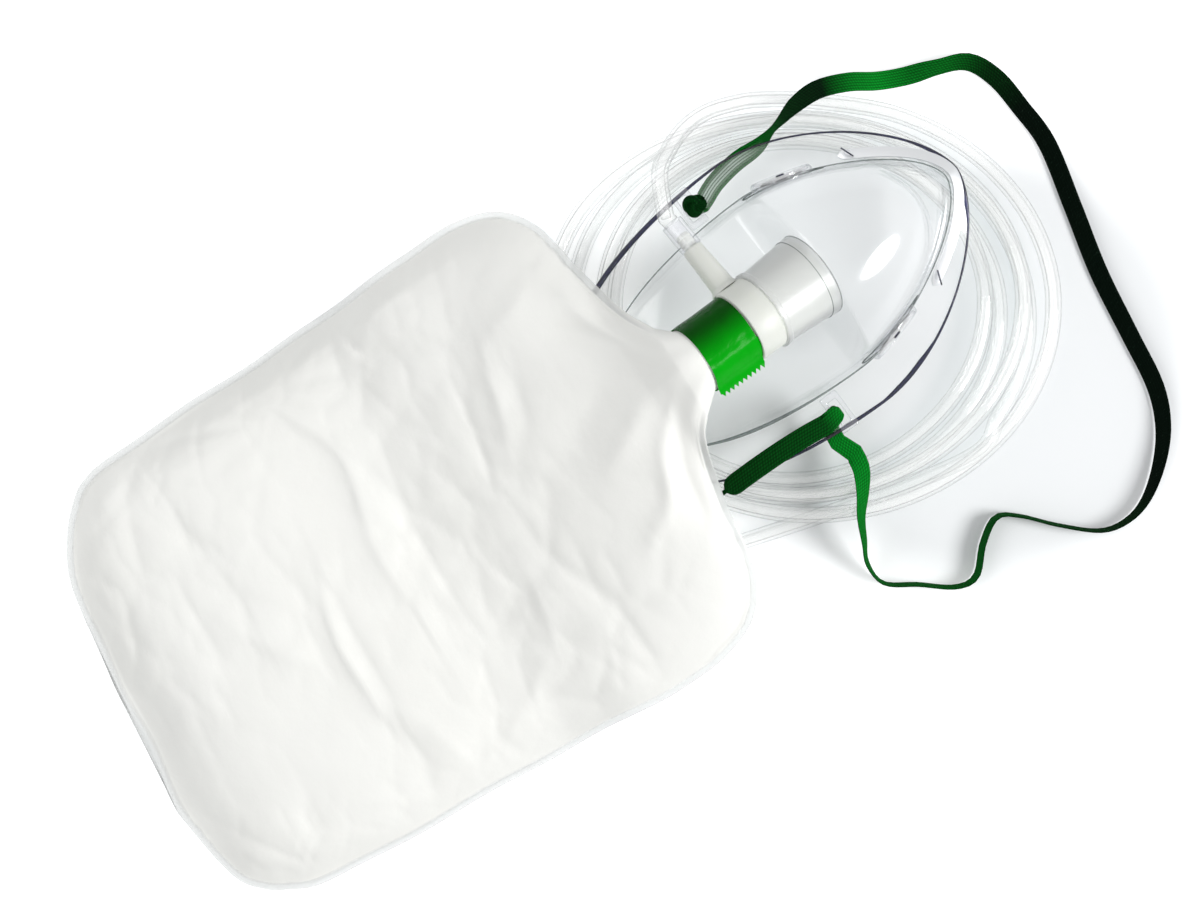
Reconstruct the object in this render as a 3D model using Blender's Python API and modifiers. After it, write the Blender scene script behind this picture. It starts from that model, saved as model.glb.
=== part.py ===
# Oxygen face mask with a reservoir bag, a coiled supply tube and an elastic head strap.
# The set lies on a table with the mask's dome up. Units are metres and +Z is up.
# +X runs along the mask from chin to nose, and +Y is the side with the tube's nipple.
# The origin is on the table, under the middle of the mask and bag together.

import math

import bmesh
import bpy
from mathutils import Matrix, Vector

# Clearances and smoothness
GAP = 0.0003
MERGE = 0.00001
ROUND_STEPS = 40

# Where the mask lies: the middle of the line between its strap lugs
MASK_X = 0.0924
MASK_Y = -0.0029

# Mask shell, seen from above: each outline is an egg about one cross line
SHELL_WALL = 0.0013
CROSS_LINE_X = 0.0155
RIM_NOSE_X = 0.0805
RIM_CHIN_X = -0.0690
RIM_HALF_WIDTH = 0.0496
RIM_NOSE_SHAPE = (1.60, 0.62)
FOLD_NOSE_X = 0.0752
FOLD_CHIN_X = -0.0580
FOLD_HALF_WIDTH = 0.0352
FOLD_NOSE_SHAPE = (1.25, 0.60)
SHOULDER_NOSE_X = 0.0612
SHOULDER_CHIN_X = -0.0480
SHOULDER_HALF_WIDTH = 0.0312
SHOULDER_NOSE_SHAPE = (1.30, 0.42)
CHIN_SHAPE = (2.00, 0.36)

# Mask shell, heights of its outer face above the table
RIM_HEIGHT = 0.0153
RIM_NOSE_RISE = 0.0100
RIM_CHIN_RISE = 0.0050
FLANGE_RISE = 0.0022
CHEEK_HEIGHT = 0.0400
NOSE_TIP_HEIGHT = 0.0415
MOUTH_EDGE_HEIGHT = 0.0255
CHIN_EDGE_HEIGHT = 0.0235
DOME_OVER_PORT = 0.0017
MOUTH_UNDER_PORT = 0.0002
SHELL_STATIONS = 14
WALL_LEVELS = ((0.10, 0.12), (0.38, 0.50), (0.68, 0.84), (1.00, 1.00))
CAP_STEPS = 4

# Port in the dome's lower wall, and the connector on its axis
PORT_TILT = math.radians(13.0)
PORT_X = 0.0158
PORT_HEIGHT = 0.0430
COLLAR_LENGTH = 0.0194
COLLAR_RIM_RADIUS = 0.0135
COLLAR_ROOT_RADIUS = 0.0147
COLLAR_BEAD = 0.0005
COLLAR_WALL = 0.0013
COLLAR_INNER_LENGTH = 0.0024
DOME_HEIGHT = PORT_HEIGHT + COLLAR_ROOT_RADIUS * math.cos(PORT_TILT) + DOME_OVER_PORT
MOUTH_HEIGHT = PORT_HEIGHT - COLLAR_ROOT_RADIUS * math.cos(PORT_TILT) - MOUTH_UNDER_PORT

# Strap lugs on the flange
LUG_X = 0.0010
LUG_Y = 0.0428
LUG_LENGTH = 0.0140
LUG_WIDTH = 0.0066
LUG_HEIGHT = 0.0030
SLOT_LENGTH = 0.0092
SLOT_WIDTH = 0.0036

# Exhalation ports on the cheeks
VENT_ANGLE = math.radians(74.5)
VENT_LEVEL = 0.52
VENT_RADIUS = 0.0108
VENT_LIP = 0.0011
VENT_STAND = 0.0019
VENT_FLOOR = 0.0005
VENT_HOLES = 6
VENT_HOLE_RADIUS = 0.0018
VENT_HOLE_CIRCLE = 0.0058
VENT_PIN_RADIUS = 0.0014
FLAP_THICKNESS = 0.0005

# Nose clip and its pegs
CLIP_WIDTH = 0.0050
CLIP_THICKNESS = 0.0008
CLIP_LIFT = 0.0005
CLIP_REACH = math.radians(54.0)
CLIP_FROM_FOLD = 0.0029
PEG_RADIUS = 0.0011
PEG_LENGTH = 0.0038
CLIP_STEPS = 22

# Connector
BODY_LENGTH = 0.0094
BODY_RADIUS = 0.0130
BAG_SPIGOT_LENGTH = 0.0170
BAG_SPIGOT_RADIUS = 0.0105
CONNECTOR_WALL = 0.0013
SPIGOT_PAST_WALL = 0.0015
SEAT_THICKNESS = 0.0014
SEAT_FROM_COLLAR = 0.0062
SEAT_HOLES = 6
SEAT_HOLE_RADIUS = 0.0021
SEAT_HOLE_CIRCLE = 0.0056
SEAT_PIN_RADIUS = 0.0011
SEAT_PIN_LENGTH = 0.0022
INLET_FLAP_RADIUS = 0.0084

# Side nipple, the cuff on it and the tube
NIPPLE_LIFT = math.radians(-8.0)
NIPPLE_REACH = 0.0301
NIPPLE_BASE_RADIUS = 0.0042
NIPPLE_END_RADIUS = 0.0035
BARB_LENGTH = 0.0058
BARB_RADIUS = 0.0024
NIPPLE_BORE_RADIUS = 0.0012
CUFF_LENGTH = 0.0104
CUFF_RADIUS = 0.0038
TUBE_DIAMETER = 0.0056
TUBE_STEP = 0.0090
LEAD_STRAIGHT = 0.0030

# Bag: stations run from the end of its neck to its far end. Each row is: distance, half
# width on the left and on the right, height of the edge line, fullness above and below it,
# and how far the sides droop.
NECK_RADIUS = 0.0116
BAG_YAW = math.radians(-4.0)
BAG_WELD = 0.0008
BAG_STEPS = 12
BAG_STATIONS = (
    (0.0050, 0.0160, 0.0170, 0.0530, 0.0112, 0.0112, 0.0000),
    (0.0100, 0.0270, 0.0245, 0.0512, 0.0105, 0.0108, 0.0020),
    (0.0145, 0.0470, 0.0440, 0.0480, 0.0100, 0.0110, 0.0080),
    (0.0180, 0.0660, 0.0680, 0.0450, 0.0097, 0.0115, 0.0130),
    (0.0270, 0.0780, 0.0825, 0.0395, 0.0093, 0.0105, 0.0130),
    (0.0420, 0.0830, 0.0892, 0.0320, 0.0090, 0.0080, 0.0090),
    (0.0600, 0.0832, 0.0910, 0.0230, 0.0088, 0.0050, 0.0040),
    (0.0750, 0.0832, 0.0905, 0.0165, 0.0090, 0.0040, 0.0010),
    (0.0920, 0.0830, 0.0898, 0.0085, 0.0095, 0.0030, 0.0000),
    (0.1080, 0.0828, 0.0892, 0.0040, 0.0100, 0.0036, 0.0000),
    (0.1450, 0.0822, 0.0873, 0.0040, 0.0105, 0.0036, 0.0000),
    (0.1900, 0.0812, 0.0840, 0.0040, 0.0090, 0.0036, 0.0000),
    (0.2055, 0.0785, 0.0780, 0.0040, 0.0070, 0.0036, 0.0000),
    (0.2130, 0.0735, 0.0728, 0.0040, 0.0055, 0.0036, 0.0000),
    (0.2190, 0.0660, 0.0660, 0.0040, 0.0038, 0.0034, 0.0000),
    (0.2242, 0.0530, 0.0530, 0.0040, 0.0020, 0.0026, 0.0000),
    (0.2270, 0.0360, 0.0360, 0.0040, 0.0008, 0.0018, 0.0000),
)
BAG_SKEW = 0.103

# Green band round the neck
BAND_WIDTH = 0.0182
BAND_THICKNESS = 0.0005

# Coil of tube on the table
COIL_X = 0.0141
COIL_Y = -0.0101
COIL_TURN = math.radians(-36.4)
COIL_LONG = 0.0880
COIL_SHORT = 0.0760
COIL_INNER_LONG = 0.0545
COIL_INNER_SHORT = 0.0500
COIL_THICKNESS = 0.0115

# Funnel on the tube's far end, on the table under the bag
FUNNEL_X = -0.0760
FUNNEL_Y = -0.0311
FUNNEL_LENGTH = 0.0400
FUNNEL_RADIUS = 0.0057
FUNNEL_NECK_RADIUS = 0.0041
FUNNEL_MOUTH_RADIUS = 0.0040
FUNNEL_BORE_RADIUS = 0.0021
FUNNEL_MOUTH_DEPTH = 0.0240

# Elastic head strap
STRAP_WIDTH = 0.0065
STRAP_THICKNESS = 0.0009
STRAP_STEP = 0.0075

STRAP_LIFT = 0.0003
KNOT_HEIGHT = 0.0050

# Routes chosen by hand, measured from the mask's place. The lead runs from the cuff to the
# top of the coil.
LEAD_ROUTE = (
    (-0.0026, 0.0560, 0.0405),
    (0.0046, 0.0610, 0.0345),
    (0.0143, 0.0647, 0.0270),
    (0.0243, 0.0656, 0.0200),
    (0.0335, 0.0635, 0.0158),
    (0.0431, 0.0592, 0.0148),
)

# The strap's loop from one lug to the other: place, height of what it lies on and roll
STRAP_LOOP = (
    (0.0061, 0.0430, 0.0120, 0),
    (0.0138, 0.0452, 0.0120, 0),
    (0.0255, 0.0467, 0.0120, 0),
    (0.0364, 0.0481, 0.0120, 0),
    (0.0462, 0.0506, 0.0118, 0),
    (0.0554, 0.0517, 0.0118, 15),
    (0.0651, 0.0509, 0.0118, 25),
    (0.0741, 0.0477, 0.0080, 20),
    (0.0821, 0.0434, 0.0020, 10),
    (0.0898, 0.0389, 0.0000, 0),
    (0.1007, 0.0334, 0.0000, 0),
    (0.1104, 0.0282, 0.0000, 10),
    (0.1156, 0.0173, 0.0000, 25),
    (0.1156, 0.0040, 0.0000, 35),
    (0.1142, -0.0113, 0.0000, 35),
    (0.1099, -0.0352, 0.0000, 35),
    (0.1043, -0.0586, 0.0000, 35),
    (0.1001, -0.0817, 0.0000, 40),
    (0.0967, -0.1015, 0.0000, 50),
    (0.0913, -0.1147, 0.0000, 60),
    (0.0818, -0.1240, 0.0000, 70),
    (0.0703, -0.1297, 0.0000, 80),
    (0.0609, -0.1313, 0.0000, 82),
    (0.0516, -0.1288, 0.0000, 82),
    (0.0403, -0.1196, 0.0000, 82),
    (0.0314, -0.1096, 0.0000, 82),
    (0.0239, -0.1058, 0.0000, 82),
    (0.0156, -0.1095, 0.0000, 82),
    (0.0073, -0.1155, 0.0000, 82),
    (-0.0004, -0.1149, 0.0000, 82),
    (-0.0107, -0.1073, 0.0000, 78),
    (-0.0179, -0.0996, 0.0000, 60),
    (-0.0194, -0.0921, 0.0045, 40),
    (-0.0172, -0.0856, 0.0118, 20),
    (-0.0134, -0.0791, 0.0122, 5),
    (-0.0096, -0.0721, 0.0122, 0),
    (-0.0064, -0.0641, 0.0122, 0),
    (-0.0062, -0.0561, 0.0120, 0),
)

# The strap's tail over the flange, after the lower slot
STRAP_TAIL = (
    (-0.0060, -0.0437, 0.0200),
    (-0.0148, -0.0442, 0.0202),
    (-0.0255, -0.0435, 0.0203),
    (-0.0369, -0.0431, 0.0198),
    (-0.0444, -0.0426, 0.0192),
)


def clear_scene():
    for item in list(bpy.data.objects):
        bpy.data.objects.remove(item, do_unlink=True)


def make_collection(name):
    group = bpy.data.collections.new(name)
    bpy.context.scene.collection.children.link(group)
    return group


def material(name, color, roughness, metallic=0.0, alpha=1.0):
    finish = bpy.data.materials.new(name)
    finish.use_nodes = True
    shader = finish.node_tree.nodes["Principled BSDF"]
    shader.inputs["Base Color"].default_value = (*color, 1.0)
    shader.inputs["Roughness"].default_value = roughness
    shader.inputs["Metallic"].default_value = metallic
    shader.inputs["Alpha"].default_value = alpha
    return finish


def place(name, mesh, group, finish=None, parent=None, at=(0, 0, 0), turn=(0, 0, 0)):
    piece = bpy.data.objects.new(name, mesh)
    group.objects.link(piece)
    piece.location = at
    piece.rotation_euler = turn
    if parent is not None:
        piece.parent = parent
    if finish is not None:
        mesh.materials.append(finish)
    return piece


def hide_as_cutter(piece):
    piece.display_type = "WIRE"
    piece.hide_render = True
    return piece


def mesh_from(name, points, faces):
    mesh = bpy.data.meshes.new(name)
    mesh.from_pydata([tuple(p) for p in points], [], faces)
    mesh.update()
    return mesh


def loft(name, rings):
    """One closed body through rings of equal point counts, with a flat cap at each end."""
    count = len(rings[0])
    points = [p for ring in rings for p in ring]
    faces = []
    for r in range(len(rings) - 1):
        for i in range(count):
            j = (i + 1) % count
            low, high = r * count, (r + 1) * count
            faces.append((low + i, low + j, high + j, high + i))
    faces.append(tuple(range(count - 1, -1, -1)))
    last = (len(rings) - 1) * count
    faces.append(tuple(last + i for i in range(count)))
    mesh = mesh_from(name, points, faces)
    body = bmesh.new()
    body.from_mesh(mesh)
    bmesh.ops.recalc_face_normals(body, faces=body.faces)
    body.to_mesh(mesh)
    body.free()
    return mesh


def turned(name, profile, group, steps=ROUND_STEPS, closed=False, **where):
    """A piece of revolution about its local Z. The profile runs down its outer side."""
    edges = [(i, i + 1) for i in range(len(profile) - 1)]
    if closed:
        edges.append((len(profile) - 1, 0))
    mesh = bpy.data.meshes.new(name)
    mesh.from_pydata([(r, 0.0, z) for r, z in profile], edges, [])
    piece = place(name, mesh, group, **where)
    screw = piece.modifiers.new("Turn", "SCREW")
    screw.steps = steps
    screw.render_steps = steps
    screw.use_merge_vertices = True
    screw.merge_threshold = MERGE
    return piece


def cylinder(name, radius, low, high, group, steps=20, **where):
    """A closed round bar along local Z from low to high."""
    body = bmesh.new()
    bmesh.ops.create_cone(
        body, cap_ends=True, segments=steps, radius1=radius, radius2=radius, depth=high - low
    )
    bmesh.ops.translate(body, verts=body.verts, vec=(0, 0, (low + high) / 2))
    mesh = bpy.data.meshes.new(name)
    body.to_mesh(mesh)
    body.free()
    return place(name, mesh, group, **where)


def box(name, size, at, group, **where):
    body = bmesh.new()
    bmesh.ops.create_cube(body, size=1.0)
    bmesh.ops.scale(body, verts=body.verts, vec=size)
    bmesh.ops.translate(body, verts=body.verts, vec=at)
    mesh = bpy.data.meshes.new(name)
    body.to_mesh(mesh)
    body.free()
    return place(name, mesh, group, **where)


def on_both_sides(cutter, middle):
    """A cutter and its mirror image across the middle's XZ plane."""
    mirror = cutter.modifiers.new("Other side", "MIRROR")
    mirror.use_axis = (False, True, False)
    mirror.mirror_object = middle
    mirror.use_mirror_merge = False
    return hide_as_cutter(cutter)


def boolean(piece, other, operation):
    step = piece.modifiers.new(operation.title() + " " + other.name, "BOOLEAN")
    step.operation = operation
    step.object = other
    step.solver = "EXACT"


def ease(share):
    """Smooth step from 0 to 1."""
    share = min(max(share, 0.0), 1.0)
    return share * share * (3.0 - 2.0 * share)


def smooth_route(route, step):
    """Points about one step apart along a smooth curve through rows of numbers.

    The first three numbers of a row are its place. The others blend along with it.
    """
    rows = [tuple(map(float, row)) for row in route]
    first = tuple(2 * a - b for a, b in zip(rows[0], rows[1]))
    last = tuple(2 * a - b for a, b in zip(rows[-1], rows[-2]))
    rows = [first, *rows, last]
    fine = []
    for k in range(1, len(rows) - 2):
        p0, p1, p2, p3 = rows[k - 1 : k + 3]
        for i in range(16):
            t = i / 16
            fine.append(
                tuple(
                    0.5 * (2 * b + (c - a) * t + (2 * a - 5 * b + 4 * c - d) * t**2
                           + (3 * b - a - 3 * c + d) * t**3)
                    for a, b, c, d in zip(p0, p1, p2, p3)
                )
            )
    fine.append(rows[-2])
    along = [0.0]
    for a, b in zip(fine, fine[1:]):
        along.append(along[-1] + math.dist(a[:3], b[:3]))
    count = max(2, round(along[-1] / step))
    picked = []
    k = 0
    for i in range(count + 1):
        want = along[-1] * i / count
        while k < len(fine) - 2 and along[k + 1] < want:
            k += 1
        span = max(along[k + 1] - along[k], 1e-12)
        share = (want - along[k]) / span
        picked.append(tuple(a + (b - a) * share for a, b in zip(fine[k], fine[k + 1])))
    return picked


def tube(name, points, diameter, group, finish):
    """A round cord as a curve with filled ends."""
    curve = bpy.data.curves.new(name, "CURVE")
    curve.dimensions = "3D"
    curve.bevel_depth = diameter / 2
    curve.bevel_resolution = 3
    curve.use_fill_caps = True
    line = curve.splines.new("POLY")
    line.points.add(len(points) - 1)
    for knot, place_at in zip(line.points, points):
        knot.co = (*place_at[:3], 1.0)
    piece = bpy.data.objects.new(name, curve)
    group.objects.link(piece)
    curve.materials.append(finish)
    return piece


def band(name, rows, side, width, thickness, group, finish):
    """A flat band along rows of x, y, z, roll in degrees, width share and thickness share.

    side is the width's direction at the first row. The width stays level wherever the
    route isn't steep, and the roll turns it about the route.
    """
    places = [Vector(row[:3]) for row in rows]
    rings = []
    across = Vector(side)
    for i, row in enumerate(rows):
        ahead = (places[min(i + 1, len(rows) - 1)] - places[max(i - 1, 0)]).normalized()
        level = Vector((-ahead.y, ahead.x, 0.0))
        if level.length > 0.3:
            across = level.normalized() * math.copysign(1.0, level.dot(across))
        else:
            across = (across - ahead * across.dot(ahead)).normalized()
        turned_across = Matrix.Rotation(math.radians(row[3]), 3, ahead) @ across
        out = ahead.cross(turned_across)
        half_w = turned_across * (width * row[4] / 2)
        half_t = out * (thickness * row[5] / 2)
        here = places[i]
        rings.append([here - half_w - half_t, here + half_w - half_t,
                      here + half_w + half_t, here - half_w + half_t])
    mesh = loft(name, rings)
    return place(name, mesh, group, finish=finish)


# Outlines and heights of the mask shell


def egg(nose_x, chin_x, half_width, nose_shape, angle):
    """A point of an egg outline: angle 0 is the nose, 180 degrees is the chin."""
    ahead = math.cos(angle)
    taper, fullness = nose_shape if ahead > 0 else CHIN_SHAPE
    reach = nose_x - CROSS_LINE_X if ahead > 0 else CROSS_LINE_X - chin_x
    share = max(1.0 - abs(ahead) ** taper, 0.0)
    return CROSS_LINE_X + reach * ahead, half_width * share**fullness


def rim_point(angle):
    x, y = egg(RIM_NOSE_X, RIM_CHIN_X, RIM_HALF_WIDTH, RIM_NOSE_SHAPE, angle)
    ahead = math.cos(angle)
    rise = RIM_NOSE_RISE if ahead > 0 else RIM_CHIN_RISE
    return Vector((x, y, RIM_HEIGHT + rise * ahead * ahead))


def fold_point(angle):
    x, y = egg(FOLD_NOSE_X, FOLD_CHIN_X, FOLD_HALF_WIDTH, FOLD_NOSE_SHAPE, angle)
    return Vector((x, y, rim_point(angle).z + FLANGE_RISE))


def shoulder_point(angle):
    x, y = egg(SHOULDER_NOSE_X, SHOULDER_CHIN_X, SHOULDER_HALF_WIDTH, SHOULDER_NOSE_SHAPE, angle)
    ahead = math.cos(angle)
    if ahead > 0:
        z = CHEEK_HEIGHT + (NOSE_TIP_HEIGHT - CHEEK_HEIGHT) * ahead
    else:
        z = MOUTH_EDGE_HEIGHT + (CHIN_EDGE_HEIGHT - MOUTH_EDGE_HEIGHT) * -ahead
    return Vector((x, y, z))


def spine_height(angle):
    """Height of the mask's middle line where the shoulder outline has this angle."""
    edge = shoulder_point(angle)
    ahead = math.cos(angle)
    top = DOME_HEIGHT if ahead > 0 else MOUTH_HEIGHT
    return edge.z + (top - edge.z) * math.sqrt(max(1.0 - abs(ahead) ** 2.6, 0.0))


def wall_point(angle, level):
    """A point on the wall between fold and shoulder, level 0 at the fold and 1 at the top."""
    low, high = fold_point(angle), shoulder_point(angle)
    before = (0.0, 0.0)
    for step in WALL_LEVELS:
        if level <= step[1]:
            break
        before = step
    span = max(step[1] - before[1], 1e-9)
    inward = before[0] + (step[0] - before[0]) * (level - before[1]) / span
    return Vector((low.x + (high.x - low.x) * inward,
                   low.y + (high.y - low.y) * inward,
                   low.z + (high.z - low.z) * level))


def flange_point(angle, share):
    """A point on the flange, share 0 at its rim and 1 at the fold. Angles may be negative."""
    spot = rim_point(abs(angle)).lerp(fold_point(abs(angle)), share)
    if angle < 0:
        spot.y = -spot.y
    return spot


def station_angles():
    """Angles of the stations. The two about the cross line carry the port's wall."""
    lean = (DOME_HEIGHT - MOUTH_HEIGHT) * math.tan(PORT_TILT)
    wall_foot = PORT_X - (PORT_HEIGHT - MOUTH_HEIGHT) * math.tan(PORT_TILT)
    wall_head = wall_foot + lean
    nose_side = math.acos((wall_head - CROSS_LINE_X) / (SHOULDER_NOSE_X - CROSS_LINE_X))
    chin_side = math.acos((wall_foot - CROSS_LINE_X) / (CROSS_LINE_X - SHOULDER_CHIN_X))
    nose = [nose_side * i / SHELL_STATIONS for i in range(SHELL_STATIONS + 1)]
    chin = [chin_side + (math.pi - chin_side) * i / SHELL_STATIONS
            for i in range(SHELL_STATIONS + 1)]
    return nose + chin


def shell_surface():
    """The outer face of half the shell, open along the middle plane."""
    angles = station_angles()
    body = bmesh.new()
    last = len(angles) - 1
    lines = [[body.verts.new(rim_point(a)) for a in angles],
             [body.verts.new(fold_point(a)) for a in angles]]
    for level in WALL_LEVELS:
        lines.append([body.verts.new(wall_point(a, level[1])) for a in angles])
    for outer, inner in zip(lines, lines[1:]):
        for i in range(last):
            body.faces.new((outer[i], outer[i + 1], inner[i + 1], inner[i]))
    shoulder = lines[-1]
    columns = []
    for i, angle in enumerate(angles):
        edge = shoulder_point(angle)
        top = spine_height(angle)
        if i in (0, last):
            columns.append([shoulder[i]] * (CAP_STEPS + 1))
            continue
        column = [shoulder[i]]
        for k in range(CAP_STEPS - 1, -1, -1):
            share = k / CAP_STEPS
            z = edge.z + (top - edge.z) * (1.0 - share**2.2)
            column.append(body.verts.new((edge.x, edge.y * share, z)))
        columns.append(column)
    for i in range(last):
        here, there = columns[i], columns[i + 1]
        for k in range(CAP_STEPS):
            corners = []
            for corner in (here[k], there[k], there[k + 1], here[k + 1]):
                if corner not in corners:
                    corners.append(corner)
            if len(corners) > 2:
                body.faces.new(corners)
    for vert in body.verts:
        if abs(vert.co.y) < 1e-7:
            vert.co.y = 0.0
    mesh = bpy.data.meshes.new("mask_shell")
    body.to_mesh(mesh)
    body.free()
    return mesh


def lug_low_height():
    """Height of the lugs' lower faces: the flange's underside at half its width."""
    angle = math.acos((LUG_X - CROSS_LINE_X) / (CROSS_LINE_X - RIM_CHIN_X))
    return flange_point(angle, 0.5).z - SHELL_WALL


def vent_frame(side):
    """The place and direction of an exhalation port on a cheek, side +1 or -1."""
    step = math.radians(4.0)
    here = wall_point(VENT_ANGLE, VENT_LEVEL)
    along = wall_point(VENT_ANGLE - step, VENT_LEVEL) - wall_point(VENT_ANGLE + step, VENT_LEVEL)
    up = wall_point(VENT_ANGLE, 0.80) - wall_point(VENT_ANGLE, 0.20)
    out = along.cross(up)
    if out.y < 0:
        out = -out
    here.y *= side
    out.y *= side
    return here, out.normalized()


def facing(direction):
    return Vector(direction).to_track_quat("Z", "Y").to_euler()


def make_shell(parts, cutters, mask, finish):
    shell = place("mask_shell", shell_surface(), parts, finish=finish, parent=mask)
    mirror = shell.modifiers.new("Other half", "MIRROR")
    mirror.use_axis = (False, True, False)
    mirror.merge_threshold = MERGE
    solid = shell.modifiers.new("Wall", "SOLIDIFY")
    solid.thickness = SHELL_WALL
    solid.offset = -1.0
    solid.use_even_offset = True

    outer_root = COLLAR_ROOT_RADIUS
    outer_rim = COLLAR_RIM_RADIUS
    collar = turned(
        "collar_form",
        ((0.0, COLLAR_LENGTH),
         (outer_rim - 0.0003, COLLAR_LENGTH),
         (outer_rim + COLLAR_BEAD, COLLAR_LENGTH - 0.0005),
         (outer_rim + COLLAR_BEAD, COLLAR_LENGTH - 0.0014),
         (outer_rim, COLLAR_LENGTH - 0.0020),
         (outer_root, 0.0004),
         (outer_root, -COLLAR_INNER_LENGTH),
         (0.0, -COLLAR_INNER_LENGTH)),
        cutters, parent=mask, at=(PORT_X, 0, PORT_HEIGHT), turn=port_turn())
    boolean(shell, hide_as_cutter(collar), "UNION")
    bore = turned(
        "collar_bore",
        ((0.0, COLLAR_LENGTH + 0.001),
         (outer_rim - COLLAR_WALL, COLLAR_LENGTH + 0.001),
         (outer_rim - COLLAR_WALL, COLLAR_LENGTH),
         (outer_root - COLLAR_WALL, 0.0),
         (outer_root - COLLAR_WALL, -COLLAR_INNER_LENGTH - 0.001),
         (0.0, -COLLAR_INNER_LENGTH - 0.001)),
        cutters, parent=mask, at=(PORT_X, 0, PORT_HEIGHT), turn=port_turn())
    boolean(shell, hide_as_cutter(bore), "DIFFERENCE")

    lug_low = lug_low_height()
    lug = box("lug", (LUG_WIDTH, LUG_LENGTH, LUG_HEIGHT),
              (LUG_X, LUG_Y, lug_low + LUG_HEIGHT / 2), cutters, parent=mask)
    boolean(shell, on_both_sides(lug, mask), "UNION")
    slot = box("slot", (SLOT_WIDTH, SLOT_LENGTH, 4 * LUG_HEIGHT), (LUG_X, LUG_Y, lug_low),
               cutters, parent=mask)
    boolean(shell, on_both_sides(slot, mask), "DIFFERENCE")

    here, out = vent_frame(1)
    turn = facing(out)
    lip = VENT_RADIUS - VENT_LIP
    boss = turned(
        "vent_boss",
        ((0.0, VENT_FLOOR), (lip, VENT_FLOOR), (lip, VENT_STAND),
         (VENT_RADIUS - 0.0003, VENT_STAND), (VENT_RADIUS, VENT_STAND - 0.0003),
         (VENT_RADIUS, -SHELL_WALL), (0.0, -SHELL_WALL)),
        cutters, steps=28, parent=mask, at=here, turn=turn)
    boolean(shell, on_both_sides(boss, mask), "UNION")
    pin = cylinder("vent_pin", VENT_PIN_RADIUS, VENT_FLOOR / 2, VENT_STAND, cutters, 12,
                   parent=mask, at=here, turn=turn)
    boolean(shell, on_both_sides(pin, mask), "UNION")
    for k in range(VENT_HOLES):
        around = 2 * math.pi * (k + 0.35) / VENT_HOLES
        offset = Vector((VENT_HOLE_CIRCLE * math.cos(around),
                         VENT_HOLE_CIRCLE * math.sin(around), 0.0))
        offset.rotate(turn)
        hole = cylinder(f"vent_hole_{k}", VENT_HOLE_RADIUS, -0.004, 0.004, cutters,
                        12, parent=mask, at=here + offset, turn=turn)
        boolean(shell, on_both_sides(hole, mask), "DIFFERENCE")

    foot, lean = peg_frame(1)
    peg = cylinder("clip_peg", PEG_RADIUS, -SHELL_WALL / 2, PEG_LENGTH, cutters, 10,
                   parent=mask, at=foot, turn=facing(lean))
    boolean(shell, on_both_sides(peg, mask), "UNION")
    return shell


def clip_line(angle):
    """A point of the clip's middle line on the flange, beside the fold, and the way out."""
    fold = flange_point(angle, 1.0)
    out = (flange_point(angle, 0.0) - fold).normalized()
    return fold + out * CLIP_FROM_FOLD, out


def clip_frame(angle):
    """The clip's place, its direction outward and the flange's upper side."""
    step = math.radians(1.0)
    along = clip_line(angle + step)[0] - clip_line(angle - step)[0]
    here, out = clip_line(angle)
    up = along.cross(out).normalized()
    return here, out, up if up.z > 0 else -up


def peg_frame(side):
    here, _, up = clip_frame(side * (CLIP_REACH - math.radians(3.5)))
    return here, up


def port_turn():
    return (0.0, -(math.pi / 2 - PORT_TILT), 0.0)


def make_clip(parts, cutters, mask, finish):
    rings = []
    for i in range(CLIP_STEPS + 1):
        angle = CLIP_REACH * (1.0 - 2.0 * i / CLIP_STEPS)
        here, out, up = clip_frame(angle)
        foot = here + up * CLIP_LIFT
        half = out * (CLIP_WIDTH / 2)
        top = up * CLIP_THICKNESS
        rings.append([foot - half, foot + half, foot + half + top, foot - half + top])
    clip = place("nose_clip", loft("nose_clip", rings), parts, finish=finish, parent=mask)
    for side in (1, -1):
        foot, lean = peg_frame(side)
        hole = cylinder(f"clip_hole_{side}", PEG_RADIUS + GAP, -0.003, 0.006, cutters, 10,
                        parent=mask, at=foot, turn=facing(lean))
        boolean(clip, hide_as_cutter(hole), "DIFFERENCE")
    return clip


def make_flaps(parts, mask, finish):
    for side in (1, -1):
        word = "left" if side > 0 else "right"
        here, out = vent_frame(side)
        low = VENT_FLOOR + GAP
        rim = VENT_RADIUS - VENT_LIP - GAP
        eye = VENT_PIN_RADIUS + GAP
        turned(
            "exhalation_disc_" + word,
            ((eye, low + FLAP_THICKNESS), (rim, low + FLAP_THICKNESS), (rim, low), (eye, low)),
            parts, steps=28, closed=True, finish=finish, parent=mask, at=here, turn=facing(out))


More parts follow.
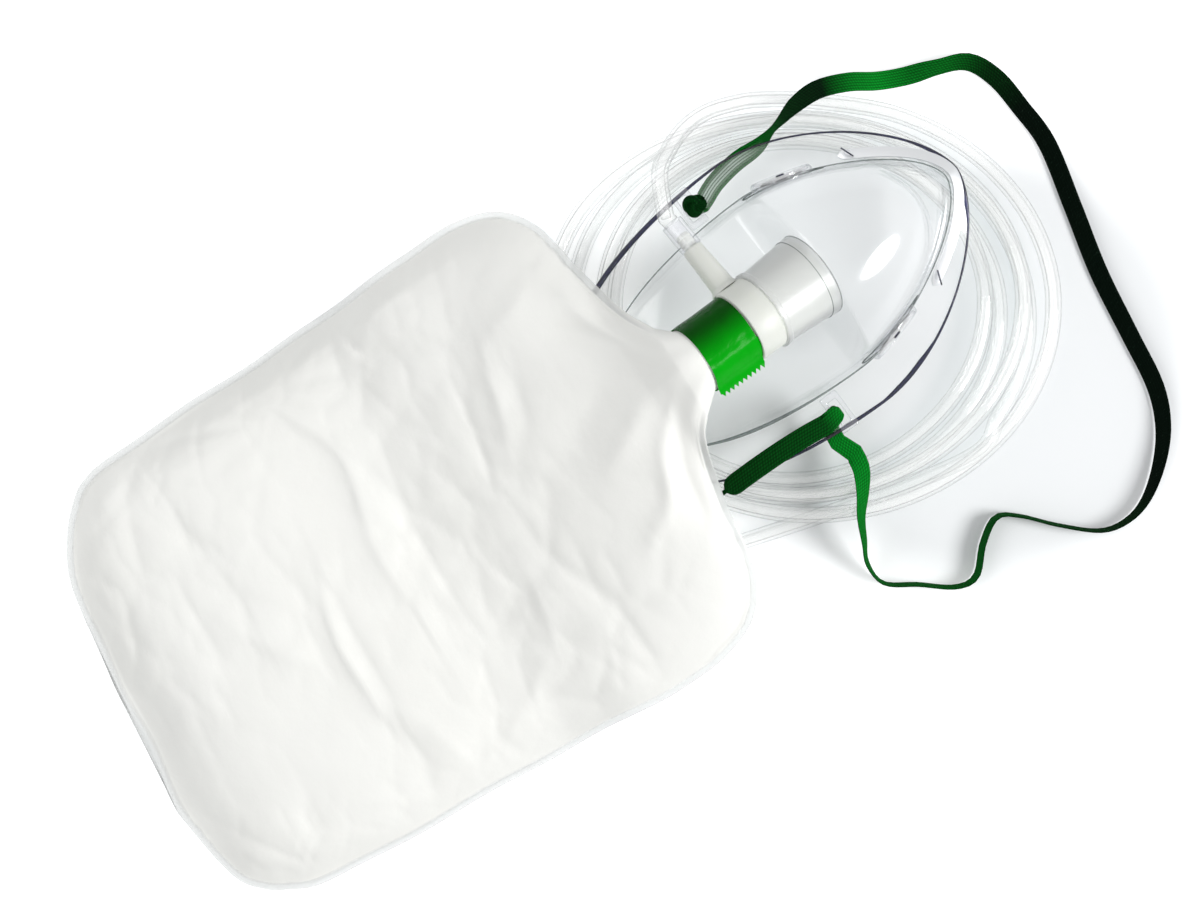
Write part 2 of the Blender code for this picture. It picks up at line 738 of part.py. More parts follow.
def make_connector(parts, cutters, port, finish):
    body_low = COLLAR_LENGTH + GAP
    body_high = body_low + BODY_LENGTH
    end = body_high + BAG_SPIGOT_LENGTH
    root = COLLAR_ROOT_RADIUS - COLLAR_WALL - GAP
    tip = COLLAR_RIM_RADIUS - COLLAR_WALL - GAP
    bag_inner = BAG_SPIGOT_RADIUS - CONNECTOR_WALL
    seat_low = body_low + SEAT_FROM_COLLAR
    seat_high = seat_low + SEAT_THICKNESS
    connector = turned(
        "connector_body",
        ((0.0, seat_high),
         (bag_inner, seat_high),
         (bag_inner, end),
         (BAG_SPIGOT_RADIUS - 0.0004, end),
         (BAG_SPIGOT_RADIUS, end - 0.0006),
         (BAG_SPIGOT_RADIUS, body_high),
         (BODY_RADIUS - 0.0004, body_high),
         (BODY_RADIUS, body_high - 0.0004),
         (BODY_RADIUS, body_low + 0.0004),
         (BODY_RADIUS - 0.0004, body_low),
         (tip, body_low),
         (root, -SPIGOT_PAST_WALL),
         (root - CONNECTOR_WALL, -SPIGOT_PAST_WALL),
         (bag_inner + 0.0010, body_low - 0.0010),
         (bag_inner, seat_low - 0.0030),
         (bag_inner, seat_low),
         (0.0, seat_low)),
        parts, finish=finish, parent=port)
    for k in range(SEAT_HOLES):
        around = 2 * math.pi * k / SEAT_HOLES
        hole = cylinder(f"seat_hole_{k}", SEAT_HOLE_RADIUS, seat_low - 0.001, seat_high + 0.001,
                        cutters, 12, parent=port,
                        at=(SEAT_HOLE_CIRCLE * math.cos(around),
                            SEAT_HOLE_CIRCLE * math.sin(around), 0.0))
        boolean(connector, hide_as_cutter(hole), "DIFFERENCE")
    pin = cylinder("seat_pin", SEAT_PIN_RADIUS, seat_low - SEAT_PIN_LENGTH, seat_high - 0.0003,
                   cutters, 10, parent=port)
    boolean(connector, hide_as_cutter(pin), "UNION")

    middle = (body_low + body_high) / 2
    turn = nipple_turn()
    nipple = turned(
        "nipple_form",
        ((0.0, NIPPLE_REACH + BARB_LENGTH),
         (BARB_RADIUS - 0.0004, NIPPLE_REACH + BARB_LENGTH),
         (BARB_RADIUS, NIPPLE_REACH + BARB_LENGTH - 0.0008),
         (BARB_RADIUS, NIPPLE_REACH),
         (NIPPLE_END_RADIUS, NIPPLE_REACH),
         (NIPPLE_BASE_RADIUS, BODY_RADIUS - 0.0006),
         (0.0, BODY_RADIUS - 0.0006)),
        cutters, steps=24, parent=port, at=(0, 0, middle), turn=turn)
    boolean(connector, hide_as_cutter(nipple), "UNION")
    bore = cylinder("nipple_bore", NIPPLE_BORE_RADIUS, BAG_SPIGOT_RADIUS - CONNECTOR_WALL - 0.001,
                    NIPPLE_REACH + BARB_LENGTH + 0.001, cutters, 12, parent=port,
                    at=(0, 0, middle), turn=turn)
    boolean(connector, hide_as_cutter(bore), "DIFFERENCE")
    return connector


def nipple_turn():
    """Turns local Z from the port's axis to the nipple's direction."""
    return facing((math.sin(NIPPLE_LIFT), math.cos(NIPPLE_LIFT), 0.0))


def make_inlet_disc(parts, port, finish):
    high = COLLAR_LENGTH + GAP + SEAT_FROM_COLLAR - GAP
    low = high - FLAP_THICKNESS
    eye = SEAT_PIN_RADIUS + GAP
    turned("inlet_valve_disc",
           ((eye, high), (INLET_FLAP_RADIUS, high), (INLET_FLAP_RADIUS, low), (eye, low)),
           parts, steps=28, closed=True, finish=finish, parent=port)


def make_cuff(parts, port, finish):
    middle = COLLAR_LENGTH + GAP + BODY_LENGTH / 2
    low = NIPPLE_REACH + GAP
    high = low + CUFF_LENGTH
    inner = BARB_RADIUS + GAP
    return turned(
        "tubing_cuff",
        ((inner, high), (CUFF_RADIUS - 0.0003, high), (CUFF_RADIUS, high - 0.0003),
         (CUFF_RADIUS, low + 0.0003), (CUFF_RADIUS - 0.0003, low), (inner, low)),
        parts, steps=24, closed=True, finish=finish, parent=port,
        at=(0, 0, middle), turn=nipple_turn())


def make_band(parts, port, finish):
    low = COLLAR_LENGTH + BODY_LENGTH + 2 * GAP
    high = low + BAND_WIDTH
    inner = NECK_RADIUS + GAP
    outer = inner + BAND_THICKNESS
    turned("neck_band", ((inner, high), (outer, high), (outer, low), (inner, low)),
           parts, closed=True, finish=finish, parent=port)


def port_point(along, around, radius):
    """World place of a point about the port's axis: along it, turned round it."""
    axis = Vector((-math.cos(PORT_TILT), 0.0, math.sin(PORT_TILT)))
    up = Vector((math.sin(PORT_TILT), 0.0, math.cos(PORT_TILT)))
    origin = Vector((MASK_X + PORT_X, MASK_Y, PORT_HEIGHT))
    spread = up * math.sin(around) + Vector((0.0, 1.0, 0.0)) * math.cos(around)
    return origin + axis * along + spread * radius


def make_bag(parts, cutters, port, finish):
    neck_low = COLLAR_LENGTH + BODY_LENGTH + 2 * GAP
    neck_high = neck_low + BAND_WIDTH + 0.0006
    arounds = [math.pi * i / BAG_STEPS for i in range(BAG_STEPS + 1)]
    arounds += [math.pi + math.pi * i / BAG_STEPS for i in range(BAG_STEPS + 1)]
    weld_tilt = math.asin(BAG_WELD / 2 / NECK_RADIUS)
    neck_arounds = []
    for i, around in enumerate(arounds):
        at_edge = i % (BAG_STEPS + 1) in (0, BAG_STEPS)
        shift = weld_tilt if at_edge else 0.0
        if i in (BAG_STEPS, 2 * BAG_STEPS + 1):
            shift = -shift
        neck_arounds.append(around + shift)
    rings = []
    for along in (neck_low, neck_high):
        rings.append([port_point(along, around, NECK_RADIUS) for around in neck_arounds])
    start = port_point(neck_high, 0.0, 0.0)
    ahead = Vector((-math.cos(BAG_YAW), -math.sin(BAG_YAW), 0.0))
    across = Vector((-math.sin(BAG_YAW), math.cos(BAG_YAW), 0.0))
    far = BAG_STATIONS[-1][0]
    for row in smooth_stations(BAG_STATIONS, 2):
        distance, left, right, edge_z, above, below, droop = row
        fullness = 1.0 + 0.6 * ease(distance / 0.06)
        ring = []
        for i, around in enumerate(arounds):
            share = math.cos(around)
            high = abs(math.sin(around)) ** fullness
            upper = i <= BAG_STEPS
            lift = BAG_WELD / 2 + above * high
            if not upper:
                lift = -BAG_WELD / 2 - below * min(1.0, 1.5 * high)
            skew = BAG_SKEW * ease((distance - 0.06) / (far - 0.06))
            y = (left if share > 0 else right) * share
            spot = start + ahead * (distance - skew * y) + across * y
            spot.z = edge_z + lift - droop * share * share
            ring.append(spot)
        rings.append(ring)
    for ring in rings:
        for spot in ring:
            spot.z = max(spot.z, 0.0)
    bag = place("reservoir_bag", loft("reservoir_bag", rings), parts, finish=finish)
    socket = cylinder("neck_socket", BAG_SPIGOT_RADIUS + GAP, neck_low - 0.002,
                      COLLAR_LENGTH + GAP + BODY_LENGTH + BAG_SPIGOT_LENGTH + GAP,
                      cutters, ROUND_STEPS, parent=port)
    boolean(bag, hide_as_cutter(socket), "DIFFERENCE")
    return bag


def smooth_stations(rows, parts_between):
    """The rows with smooth ones between them."""
    padded = [rows[0], *rows, rows[-1]]
    out = []
    for k in range(1, len(padded) - 2):
        p0, p1, p2, p3 = padded[k - 1 : k + 3]
        for i in range(parts_between):
            t = i / parts_between
            out.append(tuple(
                0.5 * (2 * b + (c - a) * t + (2 * a - 5 * b + 4 * c - d) * t**2
                       + (3 * b - a - 3 * c + d) * t**3)
                for a, b, c, d in zip(p0, p1, p2, p3)))
    out.append(rows[-1])
    return out


def make_coil(parts, finish):
    """The outer shape of the loose coil: an oval ring with softened edges."""
    curve = bpy.data.curves.new("tubing_coil", "CURVE")
    curve.dimensions = "2D"
    curve.fill_mode = "BOTH"
    edge = 0.0020
    curve.extrude = COIL_THICKNESS / 2 - edge
    curve.bevel_depth = edge
    curve.bevel_resolution = 1
    curve.resolution_u = 1
    for long, short, inset in ((COIL_LONG, COIL_SHORT, -edge),
                               (COIL_INNER_LONG, COIL_INNER_SHORT, edge)):
        line = curve.splines.new("POLY")
        line.use_cyclic_u = True
        line.points.add(ROUND_STEPS - 1)
        for i, knot in enumerate(line.points):
            around = 2 * math.pi * i / ROUND_STEPS
            knot.co = ((long + inset) * math.cos(around), (short + inset) * math.sin(around), 0, 1)
    coil = bpy.data.objects.new("tubing_coil", curve)
    parts.objects.link(coil)
    curve.materials.append(finish)
    coil.location = (MASK_X + COIL_X, MASK_Y + COIL_Y, COIL_THICKNESS / 2)
    coil.rotation_euler = (0, 0, COIL_TURN)
    return coil


def from_mask(route):
    """The route's rows moved from the mask's place to the table."""
    return [(MASK_X + row[0], MASK_Y + row[1], *row[2:]) for row in route]


def make_lead(parts, finish):
    middle = COLLAR_LENGTH + GAP + BODY_LENGTH / 2
    leave = NIPPLE_REACH + GAP + CUFF_LENGTH + GAP
    start = port_point(middle, NIPPLE_LIFT, leave)
    straight = port_point(middle, NIPPLE_LIFT, leave + LEAD_STRAIGHT)
    route = [tuple(straight), *from_mask(LEAD_ROUTE)]
    points = [tuple(start), *smooth_route(route, TUBE_STEP)]
    tube("tubing_lead", points, TUBE_DIAMETER, parts, finish)


def strap_row(x, y, floor, roll):
    """The strap's centre where it lies on something of this height with this roll."""
    slant = math.radians(roll)
    half = (STRAP_WIDTH * abs(math.sin(slant)) + STRAP_THICKNESS * math.cos(slant)) / 2
    return (x, y, floor + STRAP_LIFT + half, roll, 1.0, 1.0)


def make_strap(parts, finish):
    x = MASK_X + LUG_X
    upper, lower = MASK_Y + LUG_Y, MASK_Y - LUG_Y
    lug_top = lug_low_height() + LUG_HEIGHT
    flat = STRAP_LOOP[0][2] + STRAP_LIFT + STRAP_THICKNESS / 2
    knot = lug_top + GAP
    through_upper = (
        (x, upper, knot + KNOT_HEIGHT, 0, 0.95, 3.6),
        (x, upper, knot + KNOT_HEIGHT - 0.0008, 0, 1.2, 5.6),
        (x, upper, knot + 0.0002, 0, 1.2, 5.6),
        (x, upper, knot, 0, 1.0, 1.0),
        (x, upper, flat + 0.0012, 0, 1.0, 1.0),
        (x + 0.0005, upper, flat + 0.0004, 0, 1.0, 1.0),
        (x + 0.0015, upper, flat, 0, 1.0, 1.0),
    )
    end = STRAP_LOOP[-1][2] + STRAP_LIFT + STRAP_THICKNESS / 2
    under_lower = (
        (x - 0.0068, lower - 0.0072, end, 0, 1.0, 1.0),
        (x - 0.0056, lower - 0.0026, end, 0, 1.0, 1.0),
        (x - 0.0034, lower - 0.0004, end, 0, 1.0, 1.0),
        (x - 0.0015, lower, end, 0, 1.0, 1.0),
        (x - 0.0005, lower, end + 0.0004, 0, 1.0, 1.0),
        (x, lower, end + 0.0012, 0, 1.0, 1.0),
        (x, lower, lug_top + 0.0002, 0, 1.0, 1.0),
        (x - 0.0006, lower, lug_top + 0.0011, 0, 1.0, 1.0),
        (x - 0.0018, lower, lug_top + 0.0014, 0, 1.0, 1.0),
    )
    loop = smooth_route([strap_row(*row) for row in from_mask(STRAP_LOOP)], STRAP_STEP)
    tail = smooth_route([(*row, 0, 1.0, 1.0) for row in from_mask(STRAP_TAIL)], STRAP_STEP)
    rows = [*through_upper, *loop, *under_lower, *tail]
    return band("head_strap", rows, (0, 1, 0), STRAP_WIDTH, STRAP_THICKNESS, parts, finish)


def make_funnel(parts, finish):
    mouth = FUNNEL_LENGTH
    turned(
        "tubing_end_connector",
        ((FUNNEL_MOUTH_RADIUS, mouth),
         (FUNNEL_RADIUS - 0.0004, mouth),
         (FUNNEL_RADIUS, mouth - 0.0005),
         (FUNNEL_RADIUS, mouth - FUNNEL_MOUTH_DEPTH + 0.002),
         (FUNNEL_NECK_RADIUS, mouth - FUNNEL_MOUTH_DEPTH - 0.006),
         (FUNNEL_NECK_RADIUS, 0.0),
         (FUNNEL_BORE_RADIUS, 0.0),
         (FUNNEL_BORE_RADIUS, mouth - FUNNEL_MOUTH_DEPTH),
         (FUNNEL_MOUTH_RADIUS - 0.0006, mouth - FUNNEL_MOUTH_DEPTH + 0.001)),
        parts, steps=24, closed=True, finish=finish,
        at=(MASK_X + FUNNEL_X, MASK_Y + FUNNEL_Y, FUNNEL_RADIUS), turn=(-math.pi / 2, 0, 0))


def main():
    clear_scene()
    parts = make_collection("oxygen_face_mask")
    cutters = make_collection("cutters")
    mask = bpy.data.objects.new("mask_place", None)
    parts.objects.link(mask)
    mask.location = (MASK_X, MASK_Y, 0.0)
    port = bpy.data.objects.new("port_axis", None)
    parts.objects.link(port)
    port.location = (MASK_X + PORT_X, MASK_Y, PORT_HEIGHT)
    port.rotation_euler = port_turn()

    clear_pvc = material("clear_pvc", (0.86, 0.87, 0.92), 0.08, alpha=0.35)
    aluminium = material("aluminium", (0.80, 0.81, 0.82), 0.35, metallic=1.0)
    silicone = material("silicone", (0.88, 0.88, 0.86), 0.40, alpha=0.8)
    polypropylene = material("polypropylene", (0.90, 0.91, 0.88), 0.45)
    bag_film = material("bag_film", (0.90, 0.90, 0.88), 0.40)
    green_tape = material("green_tape", (0.0, 0.30, 0.02), 0.20)
    tube_pvc = material("tube_pvc", (0.90, 0.91, 0.91), 0.12, alpha=0.5)
    elastic = material("elastic", (0.01, 0.13, 0.03), 0.85)

    make_shell(parts, cutters, mask, clear_pvc)
    make_clip(parts, cutters, mask, aluminium)
    make_flaps(parts, mask, silicone)
    make_connector(parts, cutters, port, polypropylene)
    make_inlet_disc(parts, port, silicone)
    make_cuff(parts, port, clear_pvc)
    make_band(parts, port, green_tape)
    make_bag(parts, cutters, port, bag_film)
    make_coil(parts, tube_pvc)
    make_lead(parts, tube_pvc)
    make_funnel(parts, tube_pvc)
    make_strap(parts, elastic)


main()
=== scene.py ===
import math

import bmesh
import bpy
import numpy as np
from mathutils import Matrix, Vector, noise


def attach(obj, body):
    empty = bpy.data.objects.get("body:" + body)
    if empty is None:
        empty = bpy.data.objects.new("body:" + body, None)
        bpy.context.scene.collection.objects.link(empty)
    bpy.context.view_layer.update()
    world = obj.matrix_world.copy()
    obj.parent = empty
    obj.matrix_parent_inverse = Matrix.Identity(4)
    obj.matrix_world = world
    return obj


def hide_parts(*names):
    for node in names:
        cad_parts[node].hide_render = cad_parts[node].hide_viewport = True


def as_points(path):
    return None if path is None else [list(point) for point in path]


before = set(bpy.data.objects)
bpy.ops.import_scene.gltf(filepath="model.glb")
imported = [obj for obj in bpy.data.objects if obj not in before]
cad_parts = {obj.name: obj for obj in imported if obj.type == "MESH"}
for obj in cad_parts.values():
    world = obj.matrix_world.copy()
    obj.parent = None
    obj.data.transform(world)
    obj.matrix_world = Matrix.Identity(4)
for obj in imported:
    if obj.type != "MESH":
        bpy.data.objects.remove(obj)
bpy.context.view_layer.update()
print("frame loaded:", len(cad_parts), "nodes")

# Shared helpers


def hexColor(code):
    # sRGB hex to the linear colour that the nodes want
    parts = [int(code[i:i + 2], 16) / 255 for i in (1, 3, 5)]
    return (*[c / 12.92 if c <= 0.04045 else ((c + 0.055) / 1.055) ** 2.4 for c in parts], 1.0)


def addNode(tree, kind, inputs=None, **settings):
    # one node with its settings, plain values and links; a socket, or a node's first output, is linked
    node = tree.nodes.new(kind)
    for key, value in settings.items():
        setattr(node, key, value)
    for key, value in (inputs or {}).items():
        if isinstance(value, bpy.types.Node):
            value = value.outputs[0]
        if isinstance(value, bpy.types.NodeSocket):
            tree.links.new(value, node.inputs[key])
        else:
            node.inputs[key].default_value = value
    return node


def newFinish(name):
    finish = bpy.data.materials.new(name)
    finish.use_nodes = True
    finish.node_tree.nodes.clear()
    return finish, finish.node_tree


def perMetre(millimetres):
    # how often a pattern of this real size comes in a metre
    return 1000 / millimetres


def smoothStep(x, start=0.0, over=1.0):
    x = np.clip((x - start) / over, 0.0, 1.0)
    return x * x * (3 - 2 * x)


def distancesAlong(path):
    # how far each point lies along the path from its first one
    steps = np.diff(np.array(path)[:, :3], axis=0)
    return np.r_[0, np.cumsum(np.linalg.norm(steps, axis=1))]


def pathLength(path):
    return float(distancesAlong(path)[-1])


def smoothPath(route, step):
    # points one step apart along a smooth curve through rows of numbers; the first three are the place
    rows = np.array(route, float)
    rows = np.vstack([2 * rows[0] - rows[1], rows, 2 * rows[-1] - rows[-2]])
    fine = []
    for k in range(1, len(rows) - 2):
        p0, p1, p2, p3 = rows[k - 1:k + 3]
        t = np.linspace(0, 1, 16, endpoint=False)[:, None]
        fine.append(0.5 * (2 * p1 + (p2 - p0) * t + (2 * p0 - 5 * p1 + 4 * p2 - p3) * t**2
                           + (3 * p1 - p0 - 3 * p2 + p3) * t**3))
    fine = np.vstack([*fine, rows[-2]])
    along = distancesAlong(fine)
    want = np.linspace(0, along[-1], max(2, round(along[-1] / step)) + 1)
    return np.stack([np.interp(want, along, fine[:, i]) for i in range(fine.shape[1])], axis=1)


def linked(name, data):
    # an object of this data, in the scene
    item = bpy.data.objects.new(name, data)
    bpy.context.scene.collection.objects.link(item)
    return item


def meshOf(name, body):
    # the mesh of a bmesh, which is freed
    mesh = bpy.data.meshes.new(name)
    body.to_mesh(mesh)
    body.free()
    return mesh


def fixNormals(mesh):
    body = bmesh.new()
    body.from_mesh(mesh)
    bmesh.ops.recalc_face_normals(body, faces=body.faces)
    body.to_mesh(mesh)
    body.free()


def dress(piece, finish):
    # gives the piece its finish and smooth faces, and lets it ride on the one body
    piece.data.materials.clear()
    piece.data.materials.append(finish)
    for face in piece.data.polygons:
        face.use_smooth = True
    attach(piece, "root")
    return piece


def makePiece(name, points, faces, finish, numbers=None):
    # numbers are named values for each point, which the finish reads
    mesh = bpy.data.meshes.new(name)
    mesh.from_pydata([tuple(map(float, p)) for p in points], [], faces)
    for key, values in (numbers or {}).items():
        values = np.array(values, np.float32)
        kind, field = ("FLOAT", "value") if values.ndim == 1 else ("FLOAT_VECTOR", "vector")
        mesh.attributes.new(key, kind, "POINT").data.foreach_set(field, values.ravel())
    mesh.validate()
    fixNormals(mesh)
    return dress(linked(name, mesh), finish)


def applied(piece):
    # the piece's mesh with its modifiers taken in
    bpy.context.view_layer.update()
    shown = piece.evaluated_get(bpy.context.evaluated_depsgraph_get())
    mesh = bpy.data.meshes.new_from_object(shown)
    piece.modifiers.clear()
    piece.data = mesh
    return piece


def ringFaces(rings, around, capped=True):
    # quads between rings of equal point counts, and a face over each end
    faces = []
    for r in range(rings - 1):
        for i in range(around):
            j = (i + 1) % around
            a, b = r * around, (r + 1) * around
            faces.append((a + i, a + j, b + j, b + i))
    if capped:
        last = (rings - 1) * around
        faces += [tuple(range(around - 1, -1, -1)), tuple(last + i for i in range(around))]
    return faces


def pathFrames(path):
    # unit vectors aside and up along a path, without twist
    path = np.array(path, float)
    ahead = np.gradient(path, axis=0)
    ahead /= np.linalg.norm(ahead, axis=1)[:, None]
    up = np.zeros_like(path)
    seed = np.array((0.0, 0.0, 1.0)) if abs(ahead[0][2]) < 0.9 else np.array((0.0, 1.0, 0.0))
    for i, direction in enumerate(ahead):
        seed = seed - direction * seed.dot(direction)
        seed /= np.linalg.norm(seed)
        up[i] = seed
    return np.cross(ahead, up), up


def sweptTube(path, radii, sides, section=None):
    # points and faces of a capped tube; section gives the radius share at each angle
    aside, up = pathFrames(path)
    radii = np.broadcast_to(radii, len(path))
    around = np.linspace(0, 2 * math.pi, sides, endpoint=False)
    share = np.ones(sides) if section is None else np.array([section(a) for a in around])
    points = []
    for centre, x, y, radius in zip(np.array(path, float), aside, up, radii):
        points.extend(centre + radius * share[:, None]
                      * (np.cos(around)[:, None] * x + np.sin(around)[:, None] * y))
    return points, ringFaces(len(path), sides)


def makeBead(name, path, radii, sides, finish):
    # a rolled edge, or the thick line of a fold, as a thin round bead
    points, faces = sweptTube(path, radii, sides)
    return makePiece(name, points, faces, finish)


turning = {"cornerRound": 0.0002, "roundFrom": math.radians(28), "sharpFrom": math.radians(50)}


def placed(piece, place, turn):
    piece.matrix_world = Matrix.Translation(place) @ turn.to_matrix().to_4x4()
    return piece


def turnedPiece(name, profile, place, turn, finish, sides=96, closed=False):
    # a piece of revolution about its local Z, with rounded corners from a bevel
    mesh = bpy.data.meshes.new(name)
    edges = [(i, i + 1) for i in range(len(profile) - 1)]
    if closed:
        edges.append((len(profile) - 1, 0))
    mesh.from_pydata([(r, 0.0, z) for r, z in profile], edges, [])
    piece = placed(linked(name, mesh), place, turn)
    screw = piece.modifiers.new("Turn", "SCREW")
    screw.steps = screw.render_steps = sides
    screw.use_merge_vertices = True
    screw.merge_threshold = 0.00001
    bevel = piece.modifiers.new("Soft corners", "BEVEL")
    bevel.width = turning["cornerRound"]
    bevel.segments = 2
    bevel.limit_method = "ANGLE"
    bevel.angle_limit = turning["roundFrom"]
    applied(piece)
    fixNormals(piece.data)
    dress(piece, finish)
    piece.data.set_sharp_from_angle(angle=turning["sharpFrom"])
    return piece


def sideWord(side):
    return "left" if side > 0 else "right"


# Places shared by several pieces, in metres

layout = {
    "mask": (0.0924, -0.0029),  # the mask's own zero on the table
    "portTilt": math.radians(13),
    "portX": 0.0158,
    "portHeight": 0.0430,
    "gap": 0.0003,
}
maskX, maskY = layout["mask"]
portAxis = np.array((-math.cos(layout["portTilt"]), 0.0, math.sin(layout["portTilt"])))
portUp = np.array((math.sin(layout["portTilt"]), 0.0, math.cos(layout["portTilt"])))
portPlace = np.array((maskX + layout["portX"], maskY, layout["portHeight"]))
portTurn = Matrix((portUp, (0, 1, 0), portAxis)).transposed().to_quaternion()


def portPoint(along, around, radius):
    spread = portUp * math.sin(around) + np.array((0.0, 1.0, 0.0)) * math.cos(around)
    return portPlace + portAxis * along + spread * radius


def fromMask(route):
    return [(maskX + row[0], maskY + row[1], *row[2:]) for row in route]


# Camera, light and floor

stageSetup = {
    "aim": (0.0205, -0.0080),
    "cameraHeight": 0.700,
    "turn": math.radians(-36.4),
    "sensor": 36.0,  # mm
    "frameWidth": 0.4167,
    "floor": "#e7e9ea",
    "floorHalf": 4.0,
    "floorHeight": -0.0002,
    "worldFill": 0.44,
    "worldTint": "#f3f4f6",
    "lampAim": (0.03, 0.0, 0.0),
    # place, width and power: key from the image's right and a little below it, fill from the upper left
    "lamps": {"keyLamp": ((0.80, -0.80, 0.85), 0.6, 14.5), "fillLamp": ((-0.7, 0.8, 1.1), 1.2, 8.0)},
    # round these spots, under the mask and inside the strap, the floor gets no painted glow
    "calmSpots": ((0.1150, -0.0260, 0.0), (0.1440, -0.0625, 0.0)),
    "calmFrom": (0.062, 0.092),  # where the painted glow starts and where it is full
    # strength of the floor's painted glow, least and most
    "floorGlow": (0.03, 0.55),
    "clearWalls": 48,  # how many clear walls a ray may pass
}


def makeCamera():
    data = bpy.data.cameras.new("camera")
    data.sensor_width = stageSetup["sensor"]
    data.lens = stageSetup["sensor"] * stageSetup["cameraHeight"] / stageSetup["frameWidth"]
    camera = linked("camera", data)
    camera.location = (*stageSetup["aim"], stageSetup["cameraHeight"])
    camera.rotation_euler = (0, 0, stageSetup["turn"])
    bpy.context.scene.camera = camera


def softbox(name, place, width, power):
    data = bpy.data.lights.new(name, "AREA")
    data.shape = "ELLIPSE"
    data.size = data.size_y = width
    data.energy = power
    lamp = linked(name, data)
    lamp.location = place
    away = Vector(place) - Vector(stageSetup["lampAim"])
    lamp.rotation_euler = away.to_track_quat("Z", "Y").to_euler()


def paperFloor():
    # matt white paper: plain diffuse, and to the camera it has a painted glow away from the mask that washes
    # out the shadows there
    finish, tree = newFinish("mattWhitePaper")
    paper = addNode(tree, "ShaderNodeBsdfDiffuse", {"Color": hexColor(stageSetup["floor"])})
    place = addNode(tree, "ShaderNodeTexCoord")
    overMask, insideStrap = [addNode(tree, "ShaderNodeVectorMath", {
        0: place.outputs["Object"], 1: spot}, operation="DISTANCE") for spot in stageSetup["calmSpots"]]
    away = addNode(tree, "ShaderNodeMath", {0: overMask.outputs["Value"],
                                            1: insideStrap.outputs["Value"]}, operation="MINIMUM")
    # painted light: the floor's glow grows with the distance from the calm spots
    floorGlow = addNode(tree, "ShaderNodeMapRange", {
        "Value": away, "From Min": stageSetup["calmFrom"][0], "From Max": stageSetup["calmFrom"][1],
        "To Min": stageSetup["floorGlow"][0], "To Max": stageSetup["floorGlow"][1]},
        interpolation_type="SMOOTHSTEP")
    lift = addNode(tree, "ShaderNodeEmission", {"Color": hexColor("#ffffff"), "Strength": floorGlow})
    both = addNode(tree, "ShaderNodeAddShader", {0: paper, 1: lift})
    ray = addNode(tree, "ShaderNodeLightPath")
    sees = addNode(tree, "ShaderNodeMath", {0: ray.outputs["Is Camera Ray"],
                                            1: ray.outputs["Is Transmission Ray"]}, operation="MAXIMUM")
    sees = addNode(tree, "ShaderNodeMath", {0: sees, 1: ray.outputs["Is Glossy Ray"]},
                   operation="MAXIMUM")
    pick = addNode(tree, "ShaderNodeMixShader", {0: sees, 1: paper, 2: both})
    addNode(tree, "ShaderNodeOutputMaterial", {"Surface": pick})
    return finish


def makeFloor():
    half, height = stageSetup["floorHalf"], stageSetup["floorHeight"]
    mesh = bpy.data.meshes.new("floor")
    mesh.from_pydata([(-half, -half, height), (half, -half, height), (half, half, height),
                      (-half, half, height)], [], [(0, 1, 2, 3)])
    mesh.materials.append(paperFloor())
    linked("floor", mesh)


def makeRoom():
    # mirrors and the camera see the bright white room, matt surfaces get the calmer fill
    world = bpy.data.worlds.new("studio")
    bpy.context.scene.world = world
    world.use_nodes = True
    tree = world.node_tree
    tree.nodes.clear()
    ray = addNode(tree, "ShaderNodeLightPath")
    fill = addNode(tree, "ShaderNodeBackground", {"Color": hexColor(stageSetup["worldTint"]),
                                                  "Strength": stageSetup["worldFill"]})
    white = addNode(tree, "ShaderNodeBackground", {"Color": hexColor("#ffffff"), "Strength": 1.0})
    sees = addNode(tree, "ShaderNodeMath", {0: ray.outputs["Is Camera Ray"],
                                            1: ray.outputs["Is Glossy Ray"]}, operation="MAXIMUM")
    pick = addNode(tree, "ShaderNodeMixShader", {0: sees, 1: fill, 2: white})
    addNode(tree, "ShaderNodeOutputWorld", {"Surface": pick})


def makeStage():
    bpy.context.scene.view_settings.view_transform = "Standard"
    bpy.context.scene.cycles.transparent_max_bounces = stageSetup["clearWalls"]
    makeCamera()
    makeFloor()
    makeRoom()
    for name, (place, width, power) in stageSetup["lamps"].items():
        softbox(name, place, width, power)


makeStage()
print("camera and light ready")

# Finishes


